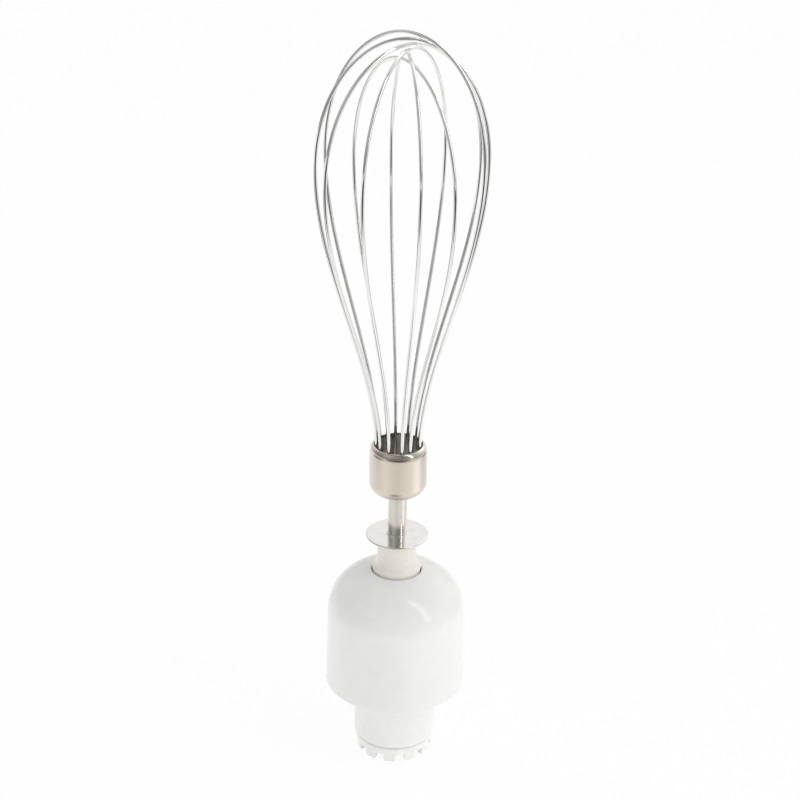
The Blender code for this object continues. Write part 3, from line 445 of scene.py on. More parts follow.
def drawnWire():
    # Die lines run along the wire: noise that is quick round the wire and slow along it
    values = wireFinish

    def build(tree):
        start = Socket(tree)
        uv = start.make("ShaderNodeUVMap", {"uv_map": "alongWire"})
        stretched = start.make("ShaderNodeVectorMath", {"operation": "MULTIPLY"},
                               {0: uv, 1: (values["streaksAround"], values["streaksAlong"], 1.0)})
        streaks = start.make("ShaderNodeTexNoise", {"noise_dimensions": "2D"},
                             {"Vector": stretched, "Scale": 1.0, "Detail": 3.0, "Roughness": 0.6})
        return {"Base Color": blotched(streaks.smoothStep(0.45, 0.75), values),
                "Roughness": values["roughness"] + (streaks - 0.5) * values["streakRoughness"],
                "Normal": bump(start, streaks, values["streakDepth"])}

    return newMaterial("drawnWire", {"Metallic": 1.0}, build)


plastics = {name: mouldedPlastic(name) for name in plasticFinishes}
steels = {name: turnedSteel(name) for name in steelFinishes}
wireMaterial = drawnWire()
print("materials made")


# Bell cover

coverValues = {
    "sideHeight": 27.2 * mm,
    "sideRadius": 24.4 * mm,
    "domeHeight": 18.8 * mm,
    "domePower": 2.3,
    "wall": 2.0 * mm,
    "holeRadius": 8.84 * mm,
    "bossRadius": 11.2 * mm,
    "bossBottom": 49.8 * mm,
    "skirtRound": 0.25 * mm,
    "innerRound": 0.4 * mm,
    "holeRound": 0.5 * mm,
    "holeClear": 1.2 * mm,           # the dome's points stop here, so that the edges can be rounded
    "bossClear": 0.6 * mm,
    "outsideSteps": 90,
    "insideSteps": 60,
    "spacing": 0.9 * mm,
    "screwBossRadius": 3.0 * mm,
    "screwBossBottom": 45.6 * mm,
    "screwHoleRadius": 1.4 * mm,
    "screwHoleDepth": 8.7 * mm,
    "screwCircle": 19.9 * mm,
    "screwAzimuths": (30.0, 150.0, 270.0),
    "screwBossWall": 2.0 * mm,       # straight above its hole
    "screwBossSteps": 32,
    "steps": 180,
}


def domeHeight(radius, bottom, wall=0.0):
    # Superellipse (radius / a)^p + (height / b)^p = 1, with both half axes less by the wall
    values = coverValues
    share = np.clip(radius / (values["sideRadius"] - wall), 0.0, 1.0)
    rise = (1.0 - share ** values["domePower"]) ** (1.0 / values["domePower"])
    return bottom + values["sideHeight"] + (values["domeHeight"] - wall) * rise


def domeLine(bottom, wall, innermost, steps):
    # Radius a * cos(angle)^(2 / p), from the shoulder to the innermost radius
    values = coverValues
    angle = np.linspace(0.0, math.pi / 2, steps)
    radius = (values["sideRadius"] - wall) * np.cos(angle) ** (2 / values["domePower"])
    radius = radius[radius > innermost]
    return list(zip(radius, domeHeight(radius, bottom, wall)))


def buildBellCover():
    values = coverValues
    low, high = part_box("bell_cover")
    bottom, skirt, wall = low.z, high.x, values["wall"]
    hole, boss = values["holeRadius"], values["bossRadius"]
    corners = [(skirt - wall, bottom, values["innerRound"]), (skirt, bottom, values["skirtRound"])]
    corners += domeLine(bottom, 0.0, hole + values["holeClear"], values["outsideSteps"])
    corners += [(hole, domeHeight(hole, bottom), values["holeRound"]),
                (hole, values["bossBottom"], smallEdge), (boss, values["bossBottom"], smallEdge),
                (boss, domeHeight(boss, bottom, wall), softEdge)]
    corners += domeLine(bottom, wall, boss + values["bossClear"], values["insideSteps"])[::-1]
    line = filledLine(roundedLine(corners), values["spacing"])
    shells = [turned(line, values["steps"])]
    for azimuth in values["screwAzimuths"]:
        shells.append(screwBoss(azimuth, bottom))
    addPiece("bellCover", shells, "housing", plastics["cover"], ["bell_cover"])


def screwBoss(azimuth, coverBottom):
    # A tube whose upper end follows the middle of the dome's wall
    values = coverValues
    bottom, outer, bore = values["screwBossBottom"], values["screwBossRadius"], values["screwHoleRadius"]
    centre, steps = polar(values["screwCircle"], azimuth), values["screwBossSteps"]
    holeTop, halfWall = bottom + values["screwHoleDepth"], 0.5 * values["wall"]
    line = roundedLine([(bore, bottom, smallEdge), (outer, bottom, smallEdge),
                        (outer, holeTop + values["screwBossWall"])], 3, closed=False)
    outside = turnedGrid(line[:, 0], line[:, 1], steps, centre)
    middle = turnedGrid([outer, 0.7 * outer, 0.35 * outer], [0.0] * 3, steps, centre)
    reach = np.hypot(middle[:, :, 0], middle[:, :, 1])
    middle[:, :, 2] = domeHeight(reach, coverBottom, halfWall)
    hole = turnedGrid([bore, bore], [holeTop, bottom + 0.5 * mm], steps, centre)
    top = domeHeight(np.hypot(*centre), coverBottom, halfWall)
    return surface(np.vstack([hole, outside, middle]), ((*centre, holeTop), (*centre, top)))


buildBellCover()


# Base with its spigot, flange, drive hub and ribs

baseValues = {
    "spigotRadius": 14.6 * mm,
    "spigotBore": 12.6 * mm,
    "flangeBottom": 29.8 * mm,
    "hubRadius": 6.6 * mm,
    "hubBore": 4.5 * mm,
    "hubBottom": 22.0 * mm,
    "ribBottom": 24.8 * mm,
    "ribWidth": 1.2 * mm,
    "ribs": 6,
    "ribSink": 0.8 * mm,             # into the hub and the spigot
    "ribRise": 0.5 * mm,             # into the floor above
    "footRound": 0.8 * mm,
    "edgeRound": 0.35 * mm,
    "innerFillet": 0.6 * mm,
    "screwHeadRadius": 2.1 * mm,
    "screwLedge": 31.6 * mm,
    "screwSteps": 40,
    "spacing": 0.9 * mm,
    "steps": 180,
}


def buildBase():
    values = baseValues
    low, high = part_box("housing_base")
    flange, top, bottom = high.x, high.z, low.z
    ceiling, edge, fillet = values["flangeBottom"], values["edgeRound"], values["innerFillet"]
    line = roundedLine([
        (flange, top, fineEdge), (flange, ceiling, smallEdge), (values["spigotRadius"], ceiling, fillet),
        (values["spigotRadius"], bottom, values["footRound"]), (values["spigotBore"], bottom, edge),
        (values["spigotBore"], ceiling, fillet), (values["hubRadius"], ceiling, fillet),
        (values["hubRadius"], values["hubBottom"], edge),
        (values["hubBore"], values["hubBottom"], smallEdge), (values["hubBore"], top, smallEdge)])
    shells = [turned(filledLine(line, values["spacing"]), values["steps"])]
    inner, outer = values["hubRadius"] - values["ribSink"], values["spigotBore"] + values["ribSink"]
    half = 0.5 * values["ribWidth"]
    for turn in np.arange(values["ribs"]) * fullTurn / values["ribs"]:
        along = np.array([math.cos(turn), math.sin(turn)])
        across = np.array([-along[1], along[0]])
        corners = [along * inner - across * half, along * outer - across * half,
                   along * outer + across * half, along * inner + across * half]
        shells.append(block(corners, values["ribBottom"], ceiling + values["ribRise"]))
    piece = addPiece("housingBase", shells, "housing", plastics["base"],
                     ["housing_base"])
    # The screws' ways are cut a little past the floor on both sides
    head, ledge, hole = values["screwHeadRadius"], values["screwLedge"], coverValues["screwHoleRadius"]
    under, over = ceiling - 2 * mm, top + mm
    way = roundedLine([(0.0, under), (head, under), (head, ledge, fineEdge), (hole, ledge),
                       (hole, over), (0.0, over)], 3, closed=False)
    cutters = []
    for azimuth in coverValues["screwAzimuths"]:
        centre = polar(coverValues["screwCircle"], azimuth)
        cutters.append(surface(turnedGrid(way[1:-1, 0], way[1:-1, 1], values["screwSteps"], centre),
                               ((*centre, way[0, 1]), (*centre, way[-1, 1]))))
    cutFrom(piece, cutters)


buildBase()


# Coupling ring

ringValues = {
    "teeth": 11,
    "firstTooth": -96.5,
    "gapWidth": 3.3 * mm,
    "gapDepth": 2.7 * mm,
    "draft": 0.10 * mm,
    "tipRound": 0.35 * mm,
    "rootRound": 0.30 * mm,
    "tipRadius": 13.4 * mm,
    "topRadius": 14.1 * mm,
    "shoulder": 6.2 * mm,
    "sleeveRadius": 12.3 * mm,
    "bore": 11.4 * mm,
    "straightAbove": 4.6 * mm,
    "shoulderRound": 0.9 * mm,
    "edgeRound": 0.3 * mm,
    "landPoints": 6,
    "gapSpacing": 0.5 * mm,
    "spacing": 0.45 * mm,
}


def buildCouplingRing():
    # The section runs round the wall. The lower edge follows the teeth, and above it
    # height = base + tooth height * (1 - base / straightAbove), so the upper part stays plain.
    values = ringValues
    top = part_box("coupling_ring")[1].z
    half, depth, draft = 0.5 * values["gapWidth"], values["gapDepth"], values["draft"]
    tip, root, aside = values["tipRound"], values["rootRound"], half + 1.0 * mm
    gap = roundedLine([(-aside, 0.0), (-half - draft, 0.0, tip), (-half + draft, depth, root),
                       (half - draft, depth, root), (half + draft, 0.0, tip), (aside, 0.0)],
                      4, closed=False)[1:-1]
    gap = filledLine(gap, values["gapSpacing"], closed=False)
    edge, shoulder = values["edgeRound"], values["shoulder"]
    section = roundedLine([
        (values["bore"], 0.0, edge), (values["tipRadius"], 0.0, edge),
        (values["topRadius"], shoulder, values["shoulderRound"]),
        (values["sleeveRadius"], shoulder, crispEdge),
        (values["sleeveRadius"], top, edge), (values["bore"], top, edge)], 4)
    section = filledLine(section, values["spacing"])
    radius = section[:, :1]
    gapAngle = np.arcsin(gap[None, :, 0] / radius)
    pitch = fullTurn / values["teeth"]
    landShare = np.arange(1, values["landPoints"] + 1) / (values["landPoints"] + 1)
    landAngle = gapAngle[:, -1:] + (gapAngle[:, :1] + pitch - gapAngle[:, -1:]) * landShare
    cell = np.hstack([gapAngle, landAngle])
    rise = np.concatenate([gap[:, 1], np.zeros(values["landPoints"])])
    firstGap = math.radians(values["firstTooth"]) + 0.5 * pitch
    angle = np.hstack([cell + firstGap + pitch * i for i in range(values["teeth"])])
    rise = np.tile(rise, values["teeth"])[None, :]
    follow = np.clip(1.0 - section[:, 1:] / values["straightAbove"], 0.0, 1.0)
    height = section[:, 1:] + rise * follow
    grid = np.stack([radius * np.cos(angle), radius * np.sin(angle), height], -1)
    addPiece("couplingRing", [surface(grid)], "housing", plastics["base"],
             ["coupling_ring"])


buildCouplingRing()
print("housing pieces made")


# Drive socket

socketValues = {
    "hexRadius": 3.6 * mm,
    "hexDepth": 6.6 * mm,
    "web": 0.8 * mm,
    "shaftBore": 2.05 * mm,
    "flat": 0.45 * mm,
    "edge": 0.3 * mm,
    "spacing": 0.8 * mm,
    "steps": 96,
}


def hexRadius(corner, angle, sharpness=26.0):
    # Rounded hexagon: apothem / (sum over three axes of |cos|^p)^(1 / p)
    apothem = corner * math.cos(math.pi / 6)
    axes = angle[None, :] - math.pi / 6 - np.arange(3)[:, None] * math.pi / 3
    return apothem / (np.abs(np.cos(axes)) ** sharpness).sum(0) ** (1 / sharpness)


def buildDriveSocket():
    # The shaft's bore is the lesser of its circle and its flat, (radius - flat) / cos(angle)
    values = socketValues
    low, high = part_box("drive_socket")
    angle = np.arange(values["steps"]) * fullTurn / values["steps"]
    hexagon = hexRadius(values["hexRadius"], angle)
    bore = np.minimum(values["shaftBore"], (values["shaftBore"] - values["flat"])
                      / np.maximum(np.cos(angle), 0.05))
    outside = filledLine(roundedLine([(high.x - mm, low.z), (high.x, low.z, values["edge"]),
                                      (high.x, high.z, values["edge"]), (high.x - mm, high.z)],
                                     4, closed=False), values["spacing"], closed=False)
    floor = low.z + values["hexDepth"]
    webTop = floor + values["web"]
    rows = [(hexagon * 0.5, floor), (hexagon, floor), (hexagon, low.z + 2 * values["edge"]),
            (hexagon, low.z + values["edge"]), (hexagon + 0.7 * values["edge"], low.z)]
    rows += [(np.full(values["steps"], r), z) for r, z in outside]
    rows += [(bore + smallEdge, high.z), (bore, high.z - smallEdge), (bore, webTop), (bore * 0.5, webTop)]
    grid = turnedGrid(np.array([r for r, _ in rows]), [z for _, z in rows], values["steps"])
    addPiece("driveSocket", [surface(grid, ((0.0, 0.0, floor), (0.0, 0.0, webTop)))], "drive",
             plastics["socket"], ["drive_socket"])


buildDriveSocket()


# Neck

neckValues = {
    "lipRadius": 8.7 * mm,
    "topRadius": 6.85 * mm,
    "skirt": 3.35 * mm,
    "lipRound": 0.4 * mm,
    "undercut": 0.20 * mm,
    "lipHeight": 0.95 * mm,
    "flarePower": 7.0,
    "flareSteps": 60,
    "stemWay": 5.2 * mm,
    "bore": 3.55 * mm,
    "shoulder": 2.5 * mm,
    "edge": 0.35 * mm,
    "spacing": 0.6 * mm,
    "steps": 160,
}


def buildNeck():
    # Flare: radius = top + (lip - top) * (1 - share of the height)^power. The waist under the lip
    # keeps a dark line round the foot.
    values = neckValues
    low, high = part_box("output_neck")
    foot = low.z + values["skirt"]
    share = np.linspace(0.025, 0.96, values["flareSteps"]) ** 1.3
    flareWidth = values["lipRadius"] - values["topRadius"]
    radius = values["topRadius"] + flareWidth * (1 - share) ** values["flarePower"]
    flare = list(zip(radius, foot + (high.z - foot) * share))
    waist = values["lipRadius"] - values["undercut"]
    seat = high.z - values["shoulder"]
    corners = [(values["stemWay"], low.z, smallEdge), (waist, low.z, softEdge),
               (waist, foot - values["lipHeight"], smallEdge),
               (values["lipRadius"], foot, values["lipRound"])] + flare[4:]
    corners += [(values["topRadius"], high.z, values["edge"]), (values["bore"], high.z, softEdge),
                (values["bore"], seat, smallEdge), (values["stemWay"], seat, smallEdge)]
    line = filledLine(roundedLine(corners), values["spacing"])
    addPiece("outputNeck", [turned(line, values["steps"])], "carrier", plastics["neck"],
             ["output_neck"])


buildNeck()


# Whisk shaft, disc and cup

shaftValues = {
    "bore": 3.22 * mm,           # of the pieces pressed on the shaft
    "hexRadius": 3.0 * mm,
    "hexLength": 14.0 * mm,
    "leadIn": 0.6 * mm,
    "hexSteps": 12,
    "rodSteps": 40,
    "steps": 96,
}


def buildWhiskShaft():
    # Radius by angle: a hexagon at the drive end, a circle above it
    values = shaftValues
    low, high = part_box("whisk_shaft")
    angle = np.arange(values["steps"]) * fullTurn / values["steps"]
    hexagon = hexRadius(values["hexRadius"], angle)
    circle = np.full(values["steps"], high.x)
    lead, top = values["leadIn"], low.z + values["hexLength"]
    rows = [(hexagon * 0.45, low.z), (hexagon - lead, low.z), (hexagon, low.z + lead)]
    rows += [(hexagon, z) for z in np.linspace(low.z + lead, top, values["hexSteps"])[1:]]
    rows += [(circle - crispEdge, top), (circle, top + smallEdge)]
    rows += [(circle, z) for z in np.linspace(top + smallEdge, high.z - lead, values["rodSteps"])[1:]]
    rows += [(circle - softEdge, high.z - smallEdge), (circle - lead, high.z), (circle * 0.4, high.z)]
    grid = turnedGrid(np.array([r for r, _ in rows]), [z for _, z in rows], values["steps"])
    addPiece("whiskShaft", [surface(grid, ((0.0, 0.0, low.z), (0.0, 0.0, high.z)))], "whisk",
             steels["shaft"], ["whisk_shaft"])


buildWhiskShaft()

discValues = {
    "thickness": 0.7 * mm,
    "collarWidth": 0.5 * mm,
    "spacing": 0.5 * mm,
    "steps": 200,
}


def buildSplashDisc():
    values = discValues
    low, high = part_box("splash_disc")
    bore, top = shaftValues["bore"], low.z + values["thickness"]
    collar = bore + values["collarWidth"]
    line = roundedLine([(bore, low.z, crispEdge), (high.x, low.z, softEdge), (high.x, top, softEdge),
                        (collar, top, crispEdge), (collar, high.z, fineEdge), (bore, high.z, fineEdge)])
    addPiece("splashDisc", [turned(filledLine(line, values["spacing"]), values["steps"])], "whisk",
             steels["disc"], ["splash_disc"])


buildSplashDisc()

cupValues = {
    "wall": 0.7 * mm,
    "floorRadius": 4.6 * mm,
    "cornerHeight": 4.6 * mm,
    "rimInset": 1.45 * mm,
    "rimHeight": 2.7 * mm,
    "spacing": 0.6 * mm,
    "steps": 200,
}


def buildWireCup():
    # Quarter ellipses join floor, wall and rim
    values = cupValues
    low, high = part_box("wire_cup")
    radius, wall, floor = high.x, values["wall"], values["floorRadius"]
    corner, bend = low.z + values["cornerHeight"], high.z - values["rimHeight"]
    mouth = radius - values["rimInset"]
    outside = ellipseArc((floor, corner), (radius - floor, values["cornerHeight"]), -90.0, 0.0, 24)
    rim = ellipseArc((mouth, bend), (values["rimInset"], values["rimHeight"]), 0.0, 84.0, 22)
    underRim = ellipseArc((mouth, bend), (values["rimInset"] - wall, values["rimHeight"] - wall),
                          90.0, 0.0, 10)
    inside = ellipseArc((floor, corner), (radius - floor - wall, values["cornerHeight"] - wall),
                        0.0, -90.0, 14)
    corners = [(shaftValues["bore"], low.z, fineEdge)] + outside + rim
    corners += [(mouth, high.z, crispEdge)] + underRim + inside
    corners += [(shaftValues["bore"], low.z + wall, crispEdge)]
    line = filledLine(roundedLine(corners), values["spacing"])
    addPiece("wireCup", [turned(line, values["steps"])], "whisk",
             cupSteel(radius, wall, bend), ["wire_cup"])


buildWireCup()


# Wires and the plug that holds them

wireValues = {
    "radius": 0.625 * mm,
    "seatRadius": 7.5 * mm,
    "seatBottom": 110.6 * mm,
    "straight": 3.9 * mm,            # below the cup's mouth
    "topHeight": 143.5 * mm,         # the highest loop above the cup's mouth
    "widestHeight": 98.1 * mm,       # above the cup's mouth
    "halfWidth": 31.5 * mm,          # of the widest loop
    "crossingStep": 1.65 * mm,
    "lowerPull": 35.0 * mm,
    "upperPull": 36.5 * mm,
    "crownRise": 0.61,
    "crownReach": 0.50,
    "endRings": (0.04, 0.2, 0.5),    # distances from an end, as shares of the radius
    "seatPoints": 9,
    "stretchSteps": 64,
    "sides": 20,
}

# Each loop, highest first: azimuth in degrees, then half width, lean, rise of the widest place and
# twist as shares of the widest loop's half width
loopShapes = [
    (-19.8, 0.873, -0.006, 0.121, 0.041),
    (9.8, 0.905, -0.002, 0.057, -0.010),
    (35.9, 0.984, -0.003, -0.010, -0.041),
    (65.1, 1.0, -0.006, -0.013, -0.035),
    (98.9, 1.0, -0.005, -0.048, -0.025),
    (121.7, 1.0, -0.016, -0.117, 0.010),
]


def bezierLine(points, steps):
    # Cubic through its two end points, without its first point
    a, b, c, d = np.asarray(points, float)
    t = (np.arange(1, steps + 1) / steps)[:, None]
    return (1 - t) ** 3 * a + 3 * (1 - t) ** 2 * t * b + 3 * (1 - t) * t ** 2 * c + t ** 3 * d


def wirePath(number, azimuth, halfWidth, lean, rise, twist):
    # One leg as (out, height): straight in its seat, a cubic to the widest place, a cubic to the
    # crown. The other leg mirrors it. Lean and twist grow with the height.
    values = wireValues
    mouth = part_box("wire_cup")[1].z
    opening = mouth - values["straight"]
    widest = mouth + values["widestHeight"] + rise
    crown = mouth + values["topHeight"] - number * values["crossingStep"]
    seat, steps, points = values["seatRadius"], values["stretchSteps"], values["seatPoints"]
    side = (halfWidth, widest)
    foot = np.stack([np.full(points, seat), np.linspace(values["seatBottom"], opening, points)], 1)
    lower = bezierLine([(seat, opening), (seat, opening + values["lowerPull"]),
                        (halfWidth, widest - values["upperPull"]), side], steps)
    upper = bezierLine([side, (halfWidth, widest + values["crownRise"] * (crown - widest)),
                        (halfWidth * values["crownReach"], crown), (0.0, crown)], steps)
    leg = np.vstack([foot, lower, upper])
    out = np.concatenate([-leg[:, 0], leg[-2::-1, 0]])
    height = np.concatenate([leg[:, 1], leg[-2::-1, 1]])
    share = np.maximum(height - opening, 0.0) / values["widestHeight"]
    along, across = out + lean * share, twist * share
    turn = math.radians(azimuth)
    return np.stack([along * math.cos(turn) - across * math.sin(turn),
                     along * math.sin(turn) + across * math.cos(turn), height], 1)


def wireGrid(path, azimuth):
    # A circle carried along the path, in the plane of the path's loop axis and its normal.
    # The end rings shrink as radius * sqrt(1 - (1 - distance / radius)^2), so the ends are domes.
    values = wireValues
    radius, sides = values["radius"], values["sides"]
    step = path[1] - path[0]
    step /= np.linalg.norm(step)
    inset = radius * np.array(values["endRings"])
    ends = path[0] + np.outer(inset, step), path[-1] + np.outer(inset, step)[::-1]
    path = np.vstack([path[:1], ends[0], path[1:-1], ends[1], path[-1:]])
    gone = np.concatenate([[0.0], np.cumsum(np.linalg.norm(np.diff(path, axis=0), axis=1))])
    near = np.minimum(np.minimum(gone, gone[-1] - gone) / radius, 1.0)
    girth = radius * np.sqrt(np.maximum(1.0 - (1.0 - near) ** 2, 0.0))[1:-1, None, None]
    tangent = np.gradient(path, gone, axis=0)
    tangent /= np.linalg.norm(tangent, axis=1, keepdims=True)
    turn = math.radians(azimuth)
    sideways = np.cross(tangent, (-math.sin(turn), math.cos(turn), 0.0))
    sideways /= np.linalg.norm(sideways, axis=1, keepdims=True)
    outward = np.cross(sideways, tangent)
    angle = (np.arange(sides) * fullTurn / sides)[None, :, None]
    ring = np.cos(angle) * sideways[1:-1, None, :] + np.sin(angle) * outward[1:-1, None, :]
    return path[1:-1, None, :] + girth * ring, path[0], path[-1], gone


def addWireMap(piece, gone):
    # u goes once round the wire, v is the distance along it in metres
    mesh = piece.data
    sides = wireValues["sides"]
    corner = np.zeros(len(mesh.loops), np.int32)
    mesh.loops.foreach_get("vertex_index", corner)
    row = np.minimum(corner // sides, len(gone) - 3)
    around = (corner % sides) / sides
    face = np.zeros(len(mesh.polygons), np.int32)
    mesh.polygons.foreach_get("loop_start", face)
    widest = np.repeat(np.maximum.reduceat(around, face), np.diff(np.append(face, len(corner))))
    around = np.where(widest - around > 0.5, around + 1.0, around)
    layer = mesh.uv_layers.new(name="alongWire")
    layer.data.foreach_set("uv", np.stack([around, gone[1:-1][row]], 1).astype(np.float32).ravel())


def buildWireLoops():
    for number, shape in enumerate(loopShapes):
        azimuth, sizes = shape[0], [wireValues["halfWidth"] * share for share in shape[1:]]
        grid, first, last, gone = wireGrid(wirePath(number, azimuth, *sizes), azimuth)
        name = "wire_loop_%d" % (number + 1)
        piece = addPiece("wireLoop%d" % (number + 1), [surface(grid, (first, last))], "whisk",
                         wireMaterial, [name])
        addWireMap(piece, gone)


buildWireLoops()

plugValues = {
    "bossRadius": 4.6 * mm,
    "flangeBottom": 108.9 * mm,
    "skin": 1.2 * mm,
    "holeRadius": 0.8 * mm,
    "holeDepth": 3.2 * mm,
    "holeSteps": 24,
    "spacing": 0.8 * mm,
    "steps": 120,
}


def buildWirePlug():
    values = plugValues
    low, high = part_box("wire_plug")
    bore, boss, skinBottom = shaftValues["bore"], values["bossRadius"], high.z - values["skin"]
    flange = values["flangeBottom"]
    line = roundedLine([(0.5 * bore, skinBottom), (bore, skinBottom, crispEdge), (bore, low.z, crispEdge),
                        (boss, low.z, smallEdge), (boss, flange, softEdge), (high.x, flange, softEdge),
                        (high.x, high.z, softEdge), (0.5 * high.x, high.z)], 4, closed=False)
    line = filledLine(line, values["spacing"], closed=False)
    shell = surface(turnedGrid(line[:, 0], line[:, 1], values["steps"]),
                    ((0.0, 0.0, skinBottom), (0.0, 0.0, high.z)))
    piece = addPiece("wirePlug", [shell], "whisk", steels["plug"], ["wire_plug"])
    radii, heights = [values["holeRadius"]] * 2, [high.z - values["holeDepth"], high.z + mm]
    cutters = []
    for shape in loopShapes:
        for side in (0.0, 180.0):
            centre = polar(wireValues["seatRadius"], shape[0] + side)
            cutters.append(surface(turnedGrid(radii, heights, values["holeSteps"], centre),
                                   ((*centre, heights[0]), (*centre, heights[1]))))
    cutFrom(piece, cutters)


buildWirePlug()
print("whisk pieces made")


# Finishes of the CAD nodes that stay

nodeFinishes = {
    "internal_gear": plastics["gear"],
    "planet_carrier": plastics["gear"],
    "carrier_plate": plastics["gear"],
    "planet_gear_1": plastics["gear"],
    "planet_gear_2": plastics["gear"],
    "planet_gear_3": plastics["gear"],
    "input_bush": steels["bronze"],
    "output_bush": steels["bronze"],
    "shaft_seal": plastics["rubber"],
}

for nodeName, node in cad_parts.items():
    if not node.hide_render:
        for nodeSlot in node.material_slots:
            nodeSlot.material = nodeFinishes.get(nodeName, steels["machined"])
print("node finishes set")


# Studio

studioValues = {
    "floorHalf": 4.0,
    "floorColour": 0.88,
    "floorWhite": 0.93,          # the floor's own white
    "shadowShare": 0.08,         # of the matt floor that is seen with it, and takes the shadow
    "bounce": 0.47,              # floor light beyond what the lobes give
    "edgeStart": 0.86,           # share of a place's reach where its edge starts
    "floorDrop": 0.2 * mm,       # below the object's foot
}

# Places of the floor that look darker in reflections: x, y and reach in metres, then the depth,
# below 0 where they look brighter
floorShades = [
    (0.0, -1.35, 1.08, 0.98),
    (-0.50, -0.04, 0.24, 0.75),
    (0.34, 0.19, 0.14, 0.65),
    (1.65, 0.10, 1.00, 0.50),
    (0.20, -0.03, 0.07, -0.45),
    (0.0, 0.58, 0.14, 0.50),
    (-0.02, -0.095, 0.05, 0.70),
]

lobeSharpness = 9.0

# The room's light as round lobes: azimuth from the camera's side towards +X, and elevation, then
# the strength on matt surfaces and in reflections
lightLobes = [
    (0.0, 3.0, 0.20, 0.14),
    (45.0, 3.0, 0.38, 0.41),
    (90.0, 3.0, 0.06, 0.47),
    (135.0, 3.0, 0.26, 0.40),
    (180.0, 3.0, 0.34, 0.57),
    (225.0, 3.0, 0.74, 0.37),
    (270.0, 3.0, 0.08, 0.17),
    (315.0, 3.0, 0.27, 0.06),
    (0.0, 33.0, 0.32, 0.22),
    (45.0, 33.0, 0.42, 0.07),
    (90.0, 33.0, 0.62, 0.45),
    (135.0, 33.0, 0.63, 1.25),
    (180.0, 33.0, 0.22, 0.48),
    (225.0, 33.0, 0.86, 0.50),
    (270.0, 33.0, 0.28, 0.10),
    (315.0, 33.0, 0.48, 0.60),
    (90.0, 63.0, 0.87, 0.16),
    (180.0, 63.0, 0.03, 0.50),
    (270.0, 63.0, 0.37, 0.26),
    (0.0, 90.0, 0.42, 0.12),
]


def rayKinds(start):
    outputs = start.make("ShaderNodeLightPath").link.node.outputs
    kinds = "Is Camera Ray", "Is Glossy Ray", "Is Transmission Ray"
    return [Socket(start.tree, outputs[kind]) for kind in kinds]


def buildFloor():
    values = studioValues
    half = values["floorHalf"]
    mesh = bpy.data.meshes.new("studioFloor")
    mesh.from_pydata([(-half, -half, 0.0), (half, -half, 0.0), (half, half, 0.0), (-half, half, 0.0)],
                     [], [(0, 1, 2, 3)])
    floor = bpy.data.objects.new("studioFloor", mesh)
    floor.location.z = -values["floorDrop"]
    bpy.context.scene.collection.objects.link(floor)
    material = bpy.data.materials.new("studioFloor")
    material.use_nodes = True
    tree = material.node_tree
    tree.nodes.remove(tree.nodes["Principled BSDF"])
    start, place = shaderInputs(tree)
    camera, gloss, through = rayKinds(start)
    seen = camera + gloss + through
    mirrored = gloss + through
    for x, y, reach, depth in floorShades:
        away = start.make("ShaderNodeVectorMath", {"operation": "DISTANCE"},
                          {0: place, 1: (x, y, 0.0)}, "Value")
        mirrored = mirrored * (1 - depth * (1 - away.smoothStep(values["edgeStart"] * reach, reach)))
    white = (camera + mirrored) * values["floorWhite"]
    grey = values["floorColour"]
    hidden = seen * (1 - values["shadowShare"])
    matt = start.make("ShaderNodeBsdfDiffuse", values={
        "Color": hidden.blend((grey, grey, grey, 1.0), (0.0, 0.0, 0.0, 1.0))})
    own = start.make("ShaderNodeEmission", values={"Strength": white + (1 - seen) * values["bounce"]})
    both = start.make("ShaderNodeAddShader", values={0: matt, 1: own})
    tree.links.new(both.link, tree.nodes["Material Output"].inputs["Surface"])
    mesh.materials.append(material)


def towards(azimuth, elevation):
    # Azimuth is measured from the camera's side, towards +X
    azimuth, elevation = math.radians(azimuth), math.radians(elevation)
    return np.array([math.sin(azimuth) * math.cos(elevation), -math.cos(azimuth) * math.cos(elevation),
                     math.sin(elevation)])


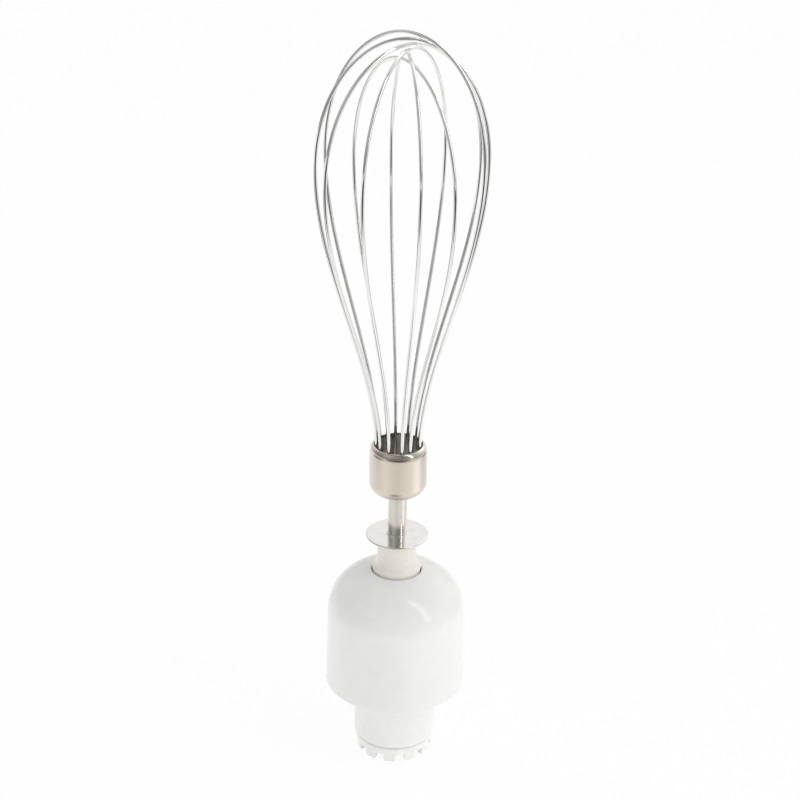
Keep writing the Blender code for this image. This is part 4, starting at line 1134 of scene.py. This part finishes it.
def buildWorld():
    # Camera rays see white. A lobe's strength falls as exp(sharpness * (cos(angle off its middle) - 1)).
    world = bpy.data.worlds.new("studio")
    world.use_nodes = True
    bpy.context.scene.world = world
    tree = world.node_tree
    start = Socket(tree)
    way = start.make("ShaderNodeTexCoord", output="Generated")
    camera, gloss, through = rayKinds(start)
    shiny = gloss + through
    matt = 1 - camera - shiny
    strength = camera
    for azimuth, elevation, soft, mirrored in lightLobes:
        facing = start.make("ShaderNodeVectorMath", {"operation": "DOT_PRODUCT"},
                            {0: way, 1: tuple(towards(azimuth, elevation))}, "Value")
        lobe = start.maths("EXPONENT", (facing - 1.0) * lobeSharpness)
        strength = strength + lobe * (matt * soft + shiny * mirrored)
    tree.links.new(strength.link, tree.nodes["Background"].inputs["Strength"])
    tree.nodes["Background"].inputs["Color"].default_value = (1.0, 1.0, 1.0, 1.0)


lampValues = {
    "rightSoftbox": {"azimuth": 56.0, "elevation": 41.0, "distance": 0.75,
                     "size": (0.10, 0.85), "watts": 1.00},
}
lampAim = (0.0, 0.0, 90.0 * mm)


def buildLamps():
    for name, values in lampValues.items():
        away = towards(values["azimuth"], values["elevation"])
        lamp = bpy.data.lights.new(name, "AREA")
        lamp.shape = "RECTANGLE"
        lamp.size, lamp.size_y = values["size"]
        lamp.energy = values["watts"]
        holder = bpy.data.objects.new(name, lamp)
        holder.location = np.array(lampAim) + away * values["distance"]
        sideways = np.cross((0.0, 0.0, 1.0), away)
        sideways /= np.linalg.norm(sideways)
        holder.rotation_euler = Matrix(np.stack([sideways, np.cross(away, sideways), away], 1)).to_euler()
        holder.visible_camera = False
        bpy.context.scene.collection.objects.link(holder)


cameraValues = {
    "place": (0.28 * mm, -600.0 * mm, 418.5 * mm),
    "down": 24.94,
    "roll": 0.93,
    "lens": 87.3,
    "sensor": 36.0,
}


def buildCamera():
    values = cameraValues
    camera = bpy.data.cameras.new("photoView")
    camera.lens = values["lens"]
    camera.sensor_width = values["sensor"]
    holder = bpy.data.objects.new("photoView", camera)
    bpy.context.scene.collection.objects.link(holder)
    turn = (Matrix.Rotation(math.radians(90.0 - values["down"]), 4, "X")
            @ Matrix.Rotation(math.radians(values["roll"]), 4, "Z"))
    holder.matrix_world = Matrix.Translation(values["place"]) @ turn
    bpy.context.scene.camera = holder


buildFloor()
buildWorld()
buildLamps()
buildCamera()
bpy.context.scene.view_settings.view_transform = "Standard"
print("studio made")
